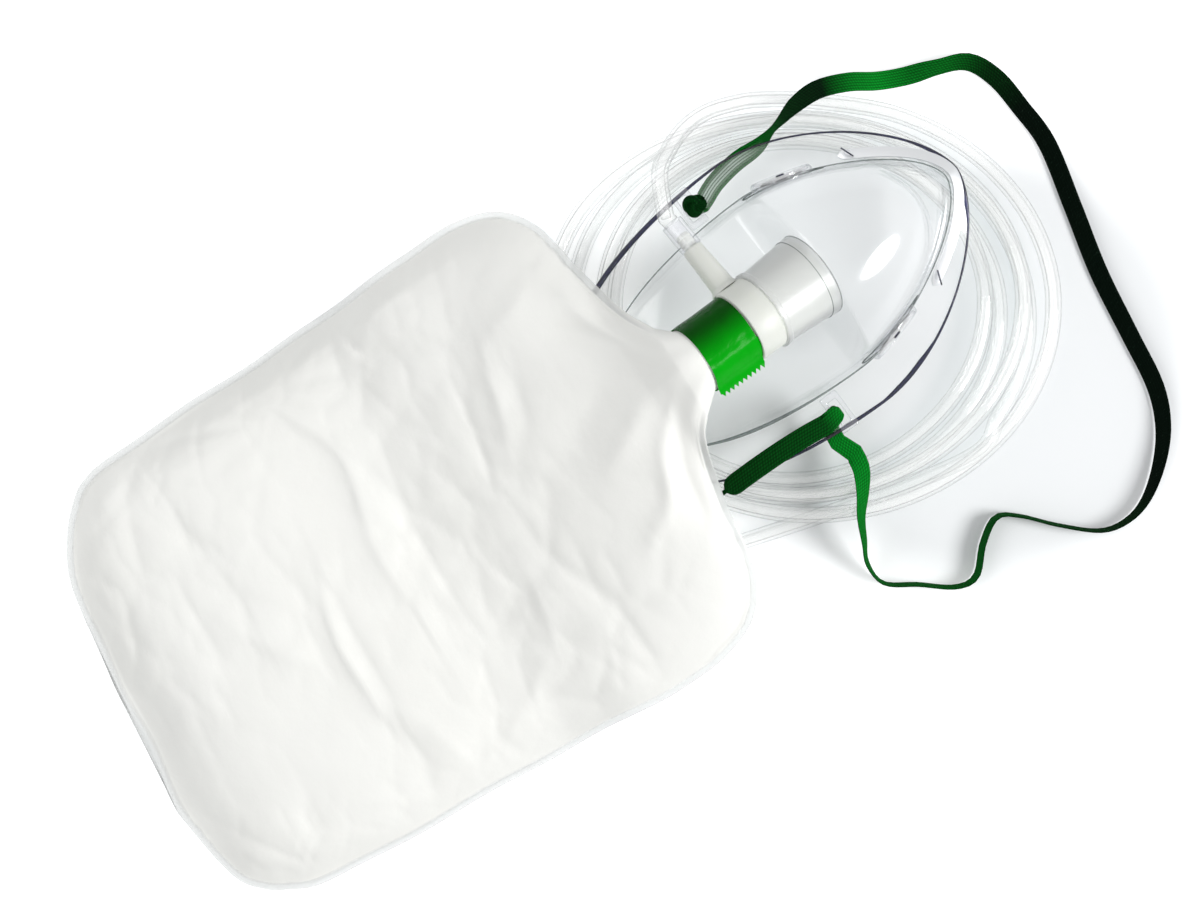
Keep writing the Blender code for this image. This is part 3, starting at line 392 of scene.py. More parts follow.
def clearVinyl(name, clear, edge, grazing, gloss=0.05, haze=0.015, hazeColor="#fbfbfd"):
    # flexible PVC, injection moulded: nearly unseen face on, while its folds and edges draw grey-blue lines
    finish, tree = newFinish(name)
    facing = addNode(tree, "ShaderNodeLayerWeight", {"Blend": 0.5})
    rise = addNode(tree, "ShaderNodeMath", {0: facing.outputs["Facing"], 1: grazing}, operation="POWER")
    tint = addNode(tree, "ShaderNodeMix", {"Factor": rise, "A": hexColor(clear), "B": hexColor(edge)},
                   data_type="RGBA")
    through = addNode(tree, "ShaderNodeBsdfTransparent", {"Color": tint.outputs[2]})
    body = addNode(tree, "ShaderNodeBsdfPrincipled", {"Base Color": hexColor(hazeColor),
                                                      "Roughness": 0.35, "IOR": 1.53})
    cloud = addNode(tree, "ShaderNodeMixShader", {0: haze, 1: through, 2: body})
    mirror = addNode(tree, "ShaderNodeBsdfGlossy", {"Color": hexColor("#ffffff"), "Roughness": gloss})
    # mirror share by angle, 4% face on, the same for light that enters and leaves the thin wall
    steep = addNode(tree, "ShaderNodeMath", {0: facing.outputs["Facing"], 1: 5.0}, operation="POWER")
    mirrored = addNode(tree, "ShaderNodeMath", {0: steep, 1: 0.7, 2: 0.04}, operation="MULTIPLY_ADD")
    shine = addNode(tree, "ShaderNodeMixShader", {0: mirrored, 1: cloud, 2: mirror})
    # light that falls through the thin wall arrives nearly whole, so the shadow stays pale
    ray = addNode(tree, "ShaderNodeLightPath")
    pale = addNode(tree, "ShaderNodeBsdfTransparent", {"Color": hexColor("#f8f9f9")})
    pick = addNode(tree, "ShaderNodeMixShader", {0: ray.outputs["Is Shadow Ray"], 1: shine, 2: pale})
    addNode(tree, "ShaderNodeOutputMaterial", {"Surface": pick})
    return finish


def frostedPolypropylene():
    # natural polypropylene, moulded with a fine spark texture: milky, soft sheen, slightly green-white
    finish, tree = newFinish("frostedPolypropylene")
    place = addNode(tree, "ShaderNodeTexCoord")
    cloud = addNode(tree, "ShaderNodeTexNoise", {"Vector": place.outputs["Object"], "Detail": 2.0,
                                                 "Scale": perMetre(11.11)})  # drift of the milkiness
    shade = addNode(tree, "ShaderNodeMix", {"Factor": cloud, "A": hexColor("#d8dad2"),
                                            "B": hexColor("#e1e3dd")}, data_type="RGBA")
    grain = addNode(tree, "ShaderNodeTexNoise", {"Vector": place.outputs["Object"],
                                                 "Scale": perMetre(0.4)})  # spark texture
    bump = addNode(tree, "ShaderNodeBump", {"Height": grain, "Strength": 0.12, "Distance": 0.0002})
    shader = addNode(tree, "ShaderNodeBsdfPrincipled", {
        "Base Color": shade.outputs[2], "Roughness": 0.42, "IOR": 1.49, "Subsurface Weight": 0.25,
        "Subsurface Radius": (0.004, 0.004, 0.0035), "Subsurface Scale": 1.0, "Normal": bump})
    addNode(tree, "ShaderNodeOutputMaterial", {"Surface": shader})
    return finish


def frostedBagFilm():
    # embossed vinyl film: matt milky white, fine crinkle, clearer and glossier along the weld
    finish, tree = newFinish("embossedVinylFilm")
    place = addNode(tree, "ShaderNodeTexCoord")
    weld = addNode(tree, "ShaderNodeAttribute", attribute_name="weld")
    drift = addNode(tree, "ShaderNodeTexNoise", {"Vector": place.outputs["Object"], "Detail": 3.0,
                                                 "Scale": perMetre(55.56)})  # drift of the tone
    shade = addNode(tree, "ShaderNodeMix", {"Factor": drift, "A": hexColor("#f3f3ee"),
                                            "B": hexColor("#f8f8f4")}, data_type="RGBA")
    shade = addNode(tree, "ShaderNodeMix", {"Factor": weld.outputs["Fac"], "A": shade.outputs[2],
                                            "B": hexColor("#eaecea")}, data_type="RGBA")
    crinkle = addNode(tree, "ShaderNodeTexNoise", {"Vector": place.outputs["Object"], "Detail": 4.0,
                                                   "Scale": perMetre(3.846)})
    emboss = addNode(tree, "ShaderNodeTexNoise", {"Vector": place.outputs["Object"],
                                                  "Scale": perMetre(0.4545)})
    height = addNode(tree, "ShaderNodeMath", {0: emboss, 1: 0.10, 2: crinkle}, operation="MULTIPLY_ADD")
    bump = addNode(tree, "ShaderNodeBump", {"Height": height, "Strength": 0.30, "Distance": 0.0004})
    rough = addNode(tree, "ShaderNodeMapRange", {"Value": weld.outputs["Fac"], "To Min": 0.46,
                                                 "To Max": 0.20})
    solid = addNode(tree, "ShaderNodeMapRange", {"Value": weld.outputs["Fac"], "To Min": 0.97,
                                                 "To Max": 0.42})
    shader = addNode(tree, "ShaderNodeBsdfPrincipled", {
        "Base Color": shade.outputs[2], "Roughness": rough, "IOR": 1.5, "Alpha": solid, "Normal": bump})
    addNode(tree, "ShaderNodeOutputMaterial", {"Surface": shader})
    return finish


def greenTape():
    # stretched vinyl tape: deep glossy green, with painted light and shade: darker on the +Y side of the
    # neck, lighter round the rest
    finish, tree = newFinish("glossyVinylTape")
    place = addNode(tree, "ShaderNodeTexCoord")
    paintedTapeLight = addNode(tree, "ShaderNodeAttribute", attribute_name="paintedTapeLight")
    pull = addNode(tree, "ShaderNodeTexNoise", {"Vector": place.outputs["Object"], "Detail": 3.0,
                                                "Scale": perMetre(6.25)})  # unevenness of the pull
    # painted light round the neck, plus a random unevenness of the pull
    mixed = addNode(tree, "ShaderNodeMath", {0: pull, 1: 0.14, 2: paintedTapeLight.outputs["Fac"]},
                    operation="MULTIPLY_ADD")
    shade = addNode(tree, "ShaderNodeMix", {"Factor": mixed, "A": hexColor("#003201"),
                                            "B": hexColor("#00ad0e")}, data_type="RGBA")
    bump = addNode(tree, "ShaderNodeBump", {"Height": pull, "Strength": 0.5, "Distance": 0.0008})
    shader = addNode(tree, "ShaderNodeBsdfPrincipled", {
        "Base Color": shade.outputs[2], "Roughness": 0.2, "IOR": 1.52, "Specular IOR Level": 0.05,
        "Normal": bump})
    addNode(tree, "ShaderNodeOutputMaterial", {"Surface": shader})
    return finish


def ribbedElastic():
    # knitted elastic: seven lengthwise ribs of small stitches, with painted shade that makes the grooves
    # almost black
    finish, tree = newFinish("knittedElastic")
    yarn = addNode(tree, "ShaderNodeAttribute", attribute_name="yarn")  # metres along, metres across
    paintedLight = addNode(tree, "ShaderNodeAttribute", attribute_name="paintedLight")  # painted light and shade: 0 in shade, 1 lit
    pale = addNode(tree, "ShaderNodeAttribute", attribute_name="pale")  # 1 where the core shows
    parts = addNode(tree, "ShaderNodeSeparateXYZ", {0: yarn.outputs["Vector"]})
    row = addNode(tree, "ShaderNodeMath", {0: parts.outputs["Y"], 1: math.pi * perMetre(0.93),
                                           2: math.pi / 2}, operation="MULTIPLY_ADD")  # rib spacing
    rib = addNode(tree, "ShaderNodeMath", {0: row}, operation="SINE")
    rib = addNode(tree, "ShaderNodeMath", {0: rib}, operation="ABSOLUTE")
    stitch = addNode(tree, "ShaderNodeMath", {0: parts.outputs["X"], 1: 2 * math.pi * perMetre(1.05),
                                              2: row}, operation="MULTIPLY_ADD")  # stitch length
    stitch = addNode(tree, "ShaderNodeMath", {0: stitch}, operation="SINE")
    stitch = addNode(tree, "ShaderNodeMath", {0: stitch, 1: 0.28, 2: 0.6}, operation="MULTIPLY_ADD")
    fuzz = addNode(tree, "ShaderNodeTexNoise", {"Vector": yarn.outputs["Vector"], "Detail": 2.0,
                                                "Scale": perMetre(0.7143)})
    height = addNode(tree, "ShaderNodeMath", {0: rib, 1: stitch}, operation="MULTIPLY")
    height = addNode(tree, "ShaderNodeMath", {0: fuzz, 1: 0.35, 2: height}, operation="MULTIPLY_ADD")
    # painted light and shade along the strap: dark where it turns away from the light, bright where lit
    groove = addNode(tree, "ShaderNodeMix", {"Factor": paintedLight.outputs["Fac"], "A": hexColor("#000502"),
                                             "B": hexColor("#003a08")}, data_type="RGBA")
    crest = addNode(tree, "ShaderNodeMix", {"Factor": paintedLight.outputs["Fac"], "A": hexColor("#010e05"),
                                            "B": hexColor("#08aa30")}, data_type="RGBA")
    # painted shade: the colour darkens from the crests down into the grooves
    shade = addNode(tree, "ShaderNodeMix", {"Factor": height, "A": groove.outputs[2],
                                            "B": crest.outputs[2]}, data_type="RGBA")
    # worn open over the knot's first centimetres, where the pale rubber core shows
    core = addNode(tree, "ShaderNodeMath", {0: pale.outputs["Fac"], 1: rib}, operation="MULTIPLY")
    shade = addNode(tree, "ShaderNodeMix", {"Factor": core, "A": shade.outputs[2],
                                            "B": hexColor("#c9d6cc")}, data_type="RGBA")
    bump = addNode(tree, "ShaderNodeBump", {"Height": height, "Strength": 0.9, "Distance": 0.0003})
    shader = addNode(tree, "ShaderNodeBsdfPrincipled", {
        "Base Color": shade.outputs[2], "Roughness": 0.85, "Specular IOR Level": 0.06, "Normal": bump})
    addNode(tree, "ShaderNodeOutputMaterial", {"Surface": shader})
    return finish


def softAluminium():
    # annealed aluminium strip: pale satin metal with fine rolling lines
    finish, tree = newFinish("annealedAluminium")
    place = addNode(tree, "ShaderNodeTexCoord")
    lines = addNode(tree, "ShaderNodeTexNoise", {"Vector": place.outputs["Object"], "Detail": 3.0,
                                                 "Scale": perMetre(1.667)})
    rough = addNode(tree, "ShaderNodeMapRange", {"Value": lines, "To Min": 0.24, "To Max": 0.42})
    shader = addNode(tree, "ShaderNodeBsdfPrincipled", {
        "Base Color": hexColor("#d6d8da"), "Metallic": 1.0, "Roughness": rough})
    addNode(tree, "ShaderNodeOutputMaterial", {"Surface": shader})
    return finish


def softSilicone():
    # liquid silicone rubber, moulded: milky, satin, lets some light through
    finish, tree = newFinish("mouldedSilicone")
    place = addNode(tree, "ShaderNodeTexCoord")
    dust = addNode(tree, "ShaderNodeTexNoise", {"Vector": place.outputs["Object"],
                                                "Scale": perMetre(1.111)})
    rough = addNode(tree, "ShaderNodeMapRange", {"Value": dust, "To Min": 0.35, "To Max": 0.42})
    shader = addNode(tree, "ShaderNodeBsdfPrincipled", {
        "Base Color": hexColor("#eeeeec"), "Roughness": rough, "IOR": 1.41, "Alpha": 0.35})
    addNode(tree, "ShaderNodeOutputMaterial", {"Surface": shader})
    return finish


maskVinyl = clearVinyl("clearMouldedVinyl", "#ffffff", "#c4c8cc", 6.0, gloss=0.12)
# painted dark reflection: dark navy even face on, this finish stands in for the dark reflection along the
# rim; it also colours the vent pins and the peg slits
paintedDarkVinyl = clearVinyl("vinylEdgePaintedDark", "#5c5e86", "#1a1a33", 1.0)
# painted shade: dark plum rings round the vent holes stand in for the shade inside them
holeShadeVinyl = clearVinyl("vinylHolePaintedShade", "#4a3450", "#140818", 1.0)
lineVinyl = clearVinyl("vinylFoldLine", "#c2c8c7", "#6f7a78", 1.0)
portVinyl = clearVinyl("clearVinylPort", "#fdfdfe", "#c2c5c9", 4.0, haze=0.10)
tubeVinyl = clearVinyl("extrudedTubeVinyl", "#ffffff", "#8a8b8c", 4.0, haze=0.11, hazeColor="#fbfbf9")
satinVinyl = clearVinyl("satinVinylCollar", "#ffffff", "#b2b5b6", 4.0, gloss=0.3, haze=0.5,
                        hazeColor="#d2d3d2")
bodyPlastic = frostedPolypropylene()
bagFilm = frostedBagFilm()
tapeVinyl = greenTape()
strapElastic = ribbedElastic()
clipMetal = softAluminium()
discSilicone = softSilicone()
print("finishes ready")

# Mask: one smooth clear form from its flat flange through steep cheeks into the nose dome

mask = {
    "wall": 0.0011,
    "crossLine": 0.0155,  # here the nose half meets the chin half
    "crossSoft": 0.28,  # rounds the outlines there
    # each outline's nose end, chin end and half width, then the taper and fullness of its nose half
    "rim": (0.0805, -0.0690, 0.0496, (1.60, 0.62)),
    "fold": (0.0752, -0.0580, 0.0352, (1.25, 0.60)),
    "shoulder": (0.0612, -0.0480, 0.0312, (1.30, 0.42)),
    "chinShape": (2.00, 0.36),  # taper and fullness of every chin half
    "rimHeight": (0.0153, 0.0100, 0.0050),  # at the cheeks, and its rise to nose and chin
    "flangeRise": 0.0022,
    "edgeHeights": (0.0400, 0.0415, 0.0255, 0.0235),  # cheek, nose tip, mouth, chin
    "domeHeight": 0.0590,
    "mouthHeight": 0.0285,
    "spineCurve": 2.6,
    "domeCurve": 2.2,
    # shares of flange, wall, dome and port wall at which the form is shaped
    "flangeShares": (0, 0.06, 0.5, 0.90, 1.0),
    "wallShares": (0.05, 0.12, 0.31, 0.50, 0.67, 0.84, 0.94, 1.0),
    "domeShares": (0.95, 0.84, 0.68, 0.50, 0.33, 0.16, 0.0),
    "portWallShares": (0.2, 0.5, 0.8),
    "wallInward": ((0, 0), (0.12, 0.10), (0.50, 0.38), (0.84, 0.68), (1, 1)),  # level, way inward
    "stations": 26,
    "rimBead": 0.00042,
    # angle round the rim in degrees, nose at 0, and the bead's share there; the bead is drawn thicker where
    # the rim's painted dark reflection is broad
    "rimBeadShares": (
        (-180, 0.8), (-150, 0.8), (-112, 1.2), (-100, 1.7), (-90, 1.3), (-84, 2.0), (-74, 2.1),
        (-66, 1.1), (-50, 0.9), (-28, 1.0), (-20, 1.8), (-8, 2.4), (6, 2.3), (16, 1.6), (28, 1.1),
        (60, 0.8), (85, 1.0), (96, 1.3), (104, 1.9), (132, 2.3), (146, 1.2), (180, 0.8)),
    "foldBead": 0.00022,
    "foldSwell": (1.8, -124, 20),  # how much thicker, at which degree, over how many degrees: the lower fold is drawn thicker where it carries the strap's painted reflection
    "beadSides": 10,
}


def eggPoint(form, angle):
    noseX, chinX, half, noseShape = mask[form]
    ahead = math.cos(angle)
    taper, fullness = noseShape if ahead > 0 else mask["chinShape"]
    reach = noseX - mask["crossLine"] if ahead > 0 else mask["crossLine"] - chinX
    soft = mask["crossSoft"]
    bend = ((ahead * ahead + soft * soft)**(taper / 2) - soft**taper) / (
        (1 + soft * soft)**(taper / 2) - soft**taper)
    side = half * max(1 - bend, 0.0)**fullness
    return mask["crossLine"] + reach * ahead, side


def rimSpot(angle):
    x, y = eggPoint("rim", angle)
    ahead = math.cos(angle)
    low, nose, chin = mask["rimHeight"]
    return np.array((x, y, low + (nose if ahead > 0 else chin) * ahead * ahead))


def foldSpot(angle):
    x, y = eggPoint("fold", angle)
    return np.array((x, y, rimSpot(angle)[2] + mask["flangeRise"]))


def shoulderSpot(angle):
    x, y = eggPoint("shoulder", angle)
    ahead = math.cos(angle)
    cheek, tip, mouth, chin = mask["edgeHeights"]
    z = cheek + (tip - cheek) * ahead if ahead > 0 else mouth + (chin - mouth) * -ahead
    return np.array((x, y, z))


def wallSpot(angle, level):
    low, high = foldSpot(angle), shoulderSpot(angle)
    inward = np.interp(level, *zip(*mask["wallInward"]))
    return np.array((*(low[:2] + (high[:2] - low[:2]) * inward), low[2] + (high[2] - low[2]) * level))


def flangeSpot(angle, share):
    spot = rimSpot(abs(angle)) * (1 - share) + foldSpot(abs(angle)) * share
    if angle < 0:
        spot[1] = -spot[1]
    return spot


def spineHeight(angle):
    edge, ahead = shoulderSpot(angle)[2], math.cos(angle)
    top = mask["domeHeight"] if ahead > 0 else mask["mouthHeight"]
    return edge + (top - edge) * math.sqrt(max(1 - abs(ahead)**mask["spineCurve"], 0.0))


def maskColumn(angle):
    # control points from the rim to the middle plane
    column = [rimSpot(angle) * (1 - s) + foldSpot(angle) * s for s in mask["flangeShares"]]
    column += [wallSpot(angle, level) for level in mask["wallShares"]]
    (x, y, edge), top = shoulderSpot(angle), spineHeight(angle)
    for share in mask["domeShares"]:
        column.append(np.array((x, y * share, edge + (top - edge) * (1 - share**mask["domeCurve"]))))
    return column


def maskAngles():
    # where the port's wall starts on the nose side and on the chin side
    tilt = math.tan(layout["portTilt"])
    foot = layout["portX"] - (layout["portHeight"] - mask["mouthHeight"]) * tilt
    head = foot + (mask["domeHeight"] - mask["mouthHeight"]) * tilt
    cross = mask["crossLine"]
    noseSide = math.acos((head - cross) / (mask["shoulder"][0] - cross))
    chinSide = math.acos((foot - cross) / (cross - mask["shoulder"][1]))
    return noseSide, chinSide


def maskColumns():
    # the mask's half from nose to chin, with the port's wall in between
    noseSide, chinSide = maskAngles()
    count = mask["stations"]
    columns = [maskColumn(noseSide * i / count) for i in range(count)]
    top, foot = np.array(maskColumn(noseSide)), np.array(maskColumn(chinSide))
    columns += [top, *(top * (1 - s) + foot * s for s in mask["portWallShares"]), foot]
    return columns + [maskColumn(chinSide + (math.pi - chinSide) * i / count)
                      for i in range(1, count + 1)]


def makeMaskShell():
    body = bmesh.new()
    grid = [[body.verts.new(p) for p in column] for column in maskColumns()]
    for here, there in zip(grid, grid[1:]):
        for k in range(len(here) - 1):
            body.faces.new((here[k], there[k], there[k + 1], here[k + 1]))
    mirrored = bmesh.ops.duplicate(body, geom=body.faces[:] + body.verts[:] + body.edges[:])
    for item in mirrored["geom"]:
        if isinstance(item, bmesh.types.BMVert):
            item.co.y = -item.co.y
    bmesh.ops.reverse_faces(body, faces=[f for f in mirrored["geom"] if isinstance(f, bmesh.types.BMFace)])
    bmesh.ops.remove_doubles(body, verts=body.verts, dist=0.00002)
    bmesh.ops.dissolve_degenerate(body, edges=body.edges, dist=0.00001)
    bmesh.ops.recalc_face_normals(body, faces=body.faces)
    if sum(f.normal.z for f in body.faces) < 0:
        bmesh.ops.reverse_faces(body, faces=body.faces)
    bmesh.ops.translate(body, verts=body.verts, vec=(maskX, maskY, 0))
    shell = linked("mask_shell_clear", meshOf("mask_shell_clear", body))
    rounded = shell.modifiers.new("Rounded", "SUBSURF")
    rounded.levels = rounded.render_levels = 2
    wall = shell.modifiers.new("Wall", "SOLIDIFY")
    wall.thickness = mask["wall"]
    wall.offset = -1  # inward, so the outside keeps its shape
    applied(shell)
    dress(shell, maskVinyl)
    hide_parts("mask_shell")


def makeMaskEdges():
    degrees = np.linspace(-180, 180, 361)
    radii = mask["rimBead"] * np.interp(degrees, *zip(*mask["rimBeadShares"]))
    spots = [flangeSpot(math.radians(d), 0.0) for d in degrees]
    for spot, radius in zip(spots, radii):
        outward = spot[:2] - (mask["crossLine"], 0)
        spot[:2] -= radius * outward / np.linalg.norm(outward)
    makeBead("mask_rim", fromMask(spots), radii, mask["beadSides"], paintedDarkVinyl)
    # the fold bead swells into a painted reflection of the strap in the lower fold
    swell, at, over = mask["foldSwell"]
    radii = mask["foldBead"] * (1 + swell * np.exp(-((degrees - at) / over)**2))
    spots = [flangeSpot(math.radians(d), 1.0) for d in degrees]
    makeBead("mask_fold", fromMask(spots), radii, mask["beadSides"], lineVinyl)


# Exhalation vents: a low round box on each cheek with holes, a centre pin and a flap

vent = {
    "angle": math.radians(74.5), "level": 0.52, "radius": 0.0108, "lip": 0.0011, "stand": 0.0019,
    "floor": 0.0005, "sides": 64,
    # the box's rounded edge, from the lip and the top, and its outside and foot, from the radius
    "edge": ((0, -0.0004), (0.0002, 0), (0.0006, -0.0003)), "shoulder": 0.0012,
    "outside": ((0, -0.0006), (-0.0008, -0.0012), (-0.0022, -0.0002)),
    "holes": 6, "hole": 0.0018, "holeCircle": 0.0058, "firstHole": 0.35, "holeSides": 20,
    "holeCut": 0.006, "holeRim": 0.00040, "holeRimOut": 0.0001,
    "pin": 0.0014, "pinFoot": 0.0004, "pinSides": 24, "flap": 0.0005,
    "leafReach": 0.27, "leafLevels": 0.36, "leafStand": 0.0003, "leafBead": 0.00024, "beadSides": 6,
}


def quaternionTo(direction):
    return Vector(direction).to_track_quat("Z", "Y")


def ventFrame(side):
    # a vent's middle on the wall and the way it faces
    angle, step = vent["angle"], math.radians(4)
    here = wallSpot(angle, vent["level"])
    along = wallSpot(angle - step, vent["level"]) - wallSpot(angle + step, vent["level"])
    up = wallSpot(angle, 0.80) - wallSpot(angle, 0.20)
    out = np.cross(along, up)
    out *= math.copysign(1, out[1])
    here[1] *= side
    out[1] *= side
    return here + (maskX, maskY, 0), out / np.linalg.norm(out)


def ventHoles(turn, ring=None, lift=0.0):
    # each hole's middle from the vent's middle, or the points of a ring round it
    for k in range(vent["holes"]):
        around = 2 * math.pi * (k + vent["firstHole"]) / vent["holes"]
        centre = Vector((math.cos(around), math.sin(around), 0)) * vent["holeCircle"]
        spots = [centre + Vector((math.cos(a), math.sin(a), 0)) * ring
                 for a in np.linspace(0, 2 * math.pi, 33)] if ring else [centre]
        for spot in spots:
            spot.z = lift
            spot.rotate(turn)
        yield spots


def drillHoles(piece, here, turn):
    tools = []
    for spots in ventHoles(turn):
        body = bmesh.new()
        bmesh.ops.create_cone(body, cap_ends=True, segments=vent["holeSides"], radius1=vent["hole"],
                              radius2=vent["hole"], depth=vent["holeCut"])
        tools.append(placed(linked("hole", meshOf("hole", body)), Vector(here) + spots[0], turn))
        cut = piece.modifiers.new("Cut", "BOOLEAN")
        cut.operation = "DIFFERENCE"
        cut.solver = "EXACT"
        cut.object = tools[-1]
    applied(piece)
    for tool in tools:
        bpy.data.objects.remove(tool)
    for face in piece.data.polygons:
        face.use_smooth = True
    piece.data.set_sharp_from_angle(angle=turning["sharpFrom"])


def ventLeaf(side):
    # the step moulded round the vent, drawn out along the wall into a leaf
    leaf = []
    for a in np.linspace(0, 2 * math.pi, 65):
        level = vent["level"] + vent["leafLevels"] * math.sin(a)
        spot = wallSpot(vent["angle"] - vent["leafReach"] * math.cos(a), level)
        spot += (maskX, maskY, vent["leafStand"])
        spot[1] = maskY + (spot[1] - maskY) * side
        leaf.append(spot)
    return leaf


def makeVents():
    radius, lip = vent["radius"], vent["radius"] - vent["lip"]
    stand, low, gap = vent["stand"], vent["floor"], layout["gap"]
    edge = [(lip + across, stand + up) for across, up in vent["edge"]]
    outside = [(radius + across, up) for across, up in vent["outside"]]
    for side in (1, -1):
        word = sideWord(side)
        here, out = ventFrame(side)
        turn = quaternionTo(out)
        box = turnedPiece("vent_" + word, (
            (0.0, low), (lip, low), *edge, (radius, stand - vent["shoulder"]), *outside,
            (0.0, outside[-1][1])), here, turn, portVinyl, vent["sides"])
        drillHoles(box, here, turn)
        # a ring of painted shade round each hole
        for k, ring in enumerate(ventHoles(turn, vent["hole"] + vent["holeRimOut"], low)):
            makeBead("hole_rim_" + word + "_" + str(k), [Vector(here) + spot for spot in ring],
                     vent["holeRim"], vent["beadSides"], holeShadeVinyl)
        makeBead("vent_leaf_" + word, ventLeaf(side), vent["leafBead"], vent["beadSides"], lineVinyl)
        turnedPiece("vent_pin_" + word, (
            (0.0, stand), (vent["pin"], stand), (vent["pin"], low - vent["pinFoot"]),
            (0.0, low - vent["pinFoot"])), here, turn, paintedDarkVinyl, vent["pinSides"])
        eye, rim, under = vent["pin"] + gap, lip - gap, low + gap
        flap = turnedPiece("flap_" + word, (
            (eye, under + vent["flap"]), (rim, under + vent["flap"]), (rim, under), (eye, under)),
            here, turn, discSilicone, vent["sides"], closed=True)
        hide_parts("exhalation_disc_" + word)


# Strap lugs: a slotted block on each side of the flange

lug = {
    "place": (0.0010, 0.0428), "size": (0.0066, 0.0140, 0.0030), "slot": (0.0036, 0.0092),
    "sunk": 0.0013, "round": 0.0006,
}


def lugHeights():
    angle = math.acos((lug["place"][0] - mask["crossLine"]) / (mask["crossLine"] - mask["rim"][1]))
    low = flangeSpot(angle, 0.5)[2] - lug["sunk"]
    return low, low + lug["size"][2]


def makeLugs():
    x, y = lug["place"]
    low, high = lugHeights()
    outer, inner = lug["size"][:2], lug["slot"]
    for side in (1, -1):
        body = bmesh.new()
        rings = []
        for (wide, long), z in ((outer, low), (outer, high), (inner, high), (inner, low)):
            rings.append([body.verts.new((maskX + x + sx * wide / 2, maskY + side * y + sy * long / 2, z))
                          for sx, sy in ((1, 1), (-1, 1), (-1, -1), (1, -1))])
        for a, b in zip(rings, rings[1:] + rings[:1]):
            for i in range(4):
                j = (i + 1) % 4
                body.faces.new((a[i], a[j], b[j], b[i]))
        bmesh.ops.recalc_face_normals(body, faces=body.faces)
        bmesh.ops.bevel(body, geom=body.edges[:], offset=lug["round"], segments=3, affect="EDGES",
                        profile=0.5)
        mesh = meshOf("lug", body)
        fixNormals(mesh)
        dress(linked("lug_" + sideWord(side), mesh), portVinyl)


# Nose clip: a flat strip bent along the fold of the nose end, held on two pegs

clip = {
    "width": 0.0038, "thickness": 0.0008, "lift": 0.0005, "reach": math.radians(54), "fromFold": 0.0025,
    "steps": 90, "endCurve": 40,  # the higher, the blunter the strip's rounded ends
    # rolled edges: shares of the half width and of the thickness
    "profile": ((-1, 0.3), (-0.96, 0.05), (-0.85, 0), (0.85, 0), (0.96, 0.05), (1, 0.3), (1, 0.7),
                (0.96, 0.95), (0.85, 1), (-0.85, 1), (-0.96, 0.95), (-1, 0.7)),
    "pegRadius": 0.0011, "pegLength": 0.0038, "pegFoot": -0.0005, "pegFromEnd": math.radians(3.5),
    "pegHead": (0.8, 0.0008), "pegSides": 24,  # the head's share of the radius, how far it tapers
    "slitHalf": 0.0026, "slitBead": 0.00026, "slitLift": 0.0001, "slitWay": (0.35, -0.93, 0.0),
}


def clipFrame(angle):
    # the clip's middle line at this angle, and the ways out and up there
    def line(a):
        fold = flangeSpot(a, 1.0)
        out = flangeSpot(a, 0.0) - fold
        out /= np.linalg.norm(out)
        return fold + out * clip["fromFold"], out
    step = math.radians(1)
    along = line(angle + step)[0] - line(angle - step)[0]
    here, out = line(angle)
    up = np.cross(along, out)
    up /= np.linalg.norm(up)
    return here + (maskX, maskY, 0), out, up if up[2] > 0 else -up


def makeClip():
    points = []
    for i in range(clip["steps"] + 1):
        share = 1 - 2 * i / clip["steps"]
        here, out, up = clipFrame(clip["reach"] * share)
        half = clip["width"] / 2 * math.sqrt(max(1 - abs(share)**clip["endCurve"], 0.02))
        for across, lift in clip["profile"]:
            points.append(here + out * half * across + up * (clip["lift"] + clip["thickness"] * lift))
    strip = makePiece("nose_clip_strip", points, ringFaces(clip["steps"] + 1, len(clip["profile"])),
                      clipMetal)
    strip.data.set_sharp_from_angle(angle=math.radians(60))
    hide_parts("nose_clip")
    radius, length, foot = clip["pegRadius"], clip["pegLength"], clip["pegFoot"]
    headShare, taper = clip["pegHead"]
    for side in (1, -1):
        here, out, up = clipFrame(side * (clip["reach"] - clip["pegFromEnd"]))
        turnedPiece("clip_peg_" + sideWord(side), (
            (0.0, length), (radius * headShare, length), (radius, length - taper), (radius, foot),
            (0.0, foot)), here, quaternionTo(up), portVinyl, clip["pegSides"])
        # the slit under the peg's head is drawn as a short dark dash of painted shade
        slit = np.array(clip["slitWay"]) * (side, 1, 1)
        ends = [here + up * (length + clip["slitLift"]) + slit * t
                for t in np.linspace(-clip["slitHalf"], clip["slitHalf"], 9)]
        makeBead("peg_slit_" + sideWord(side), ends, clip["slitBead"], 8, paintedDarkVinyl)


# Port collar, connector, cuff and valve on the port's axis

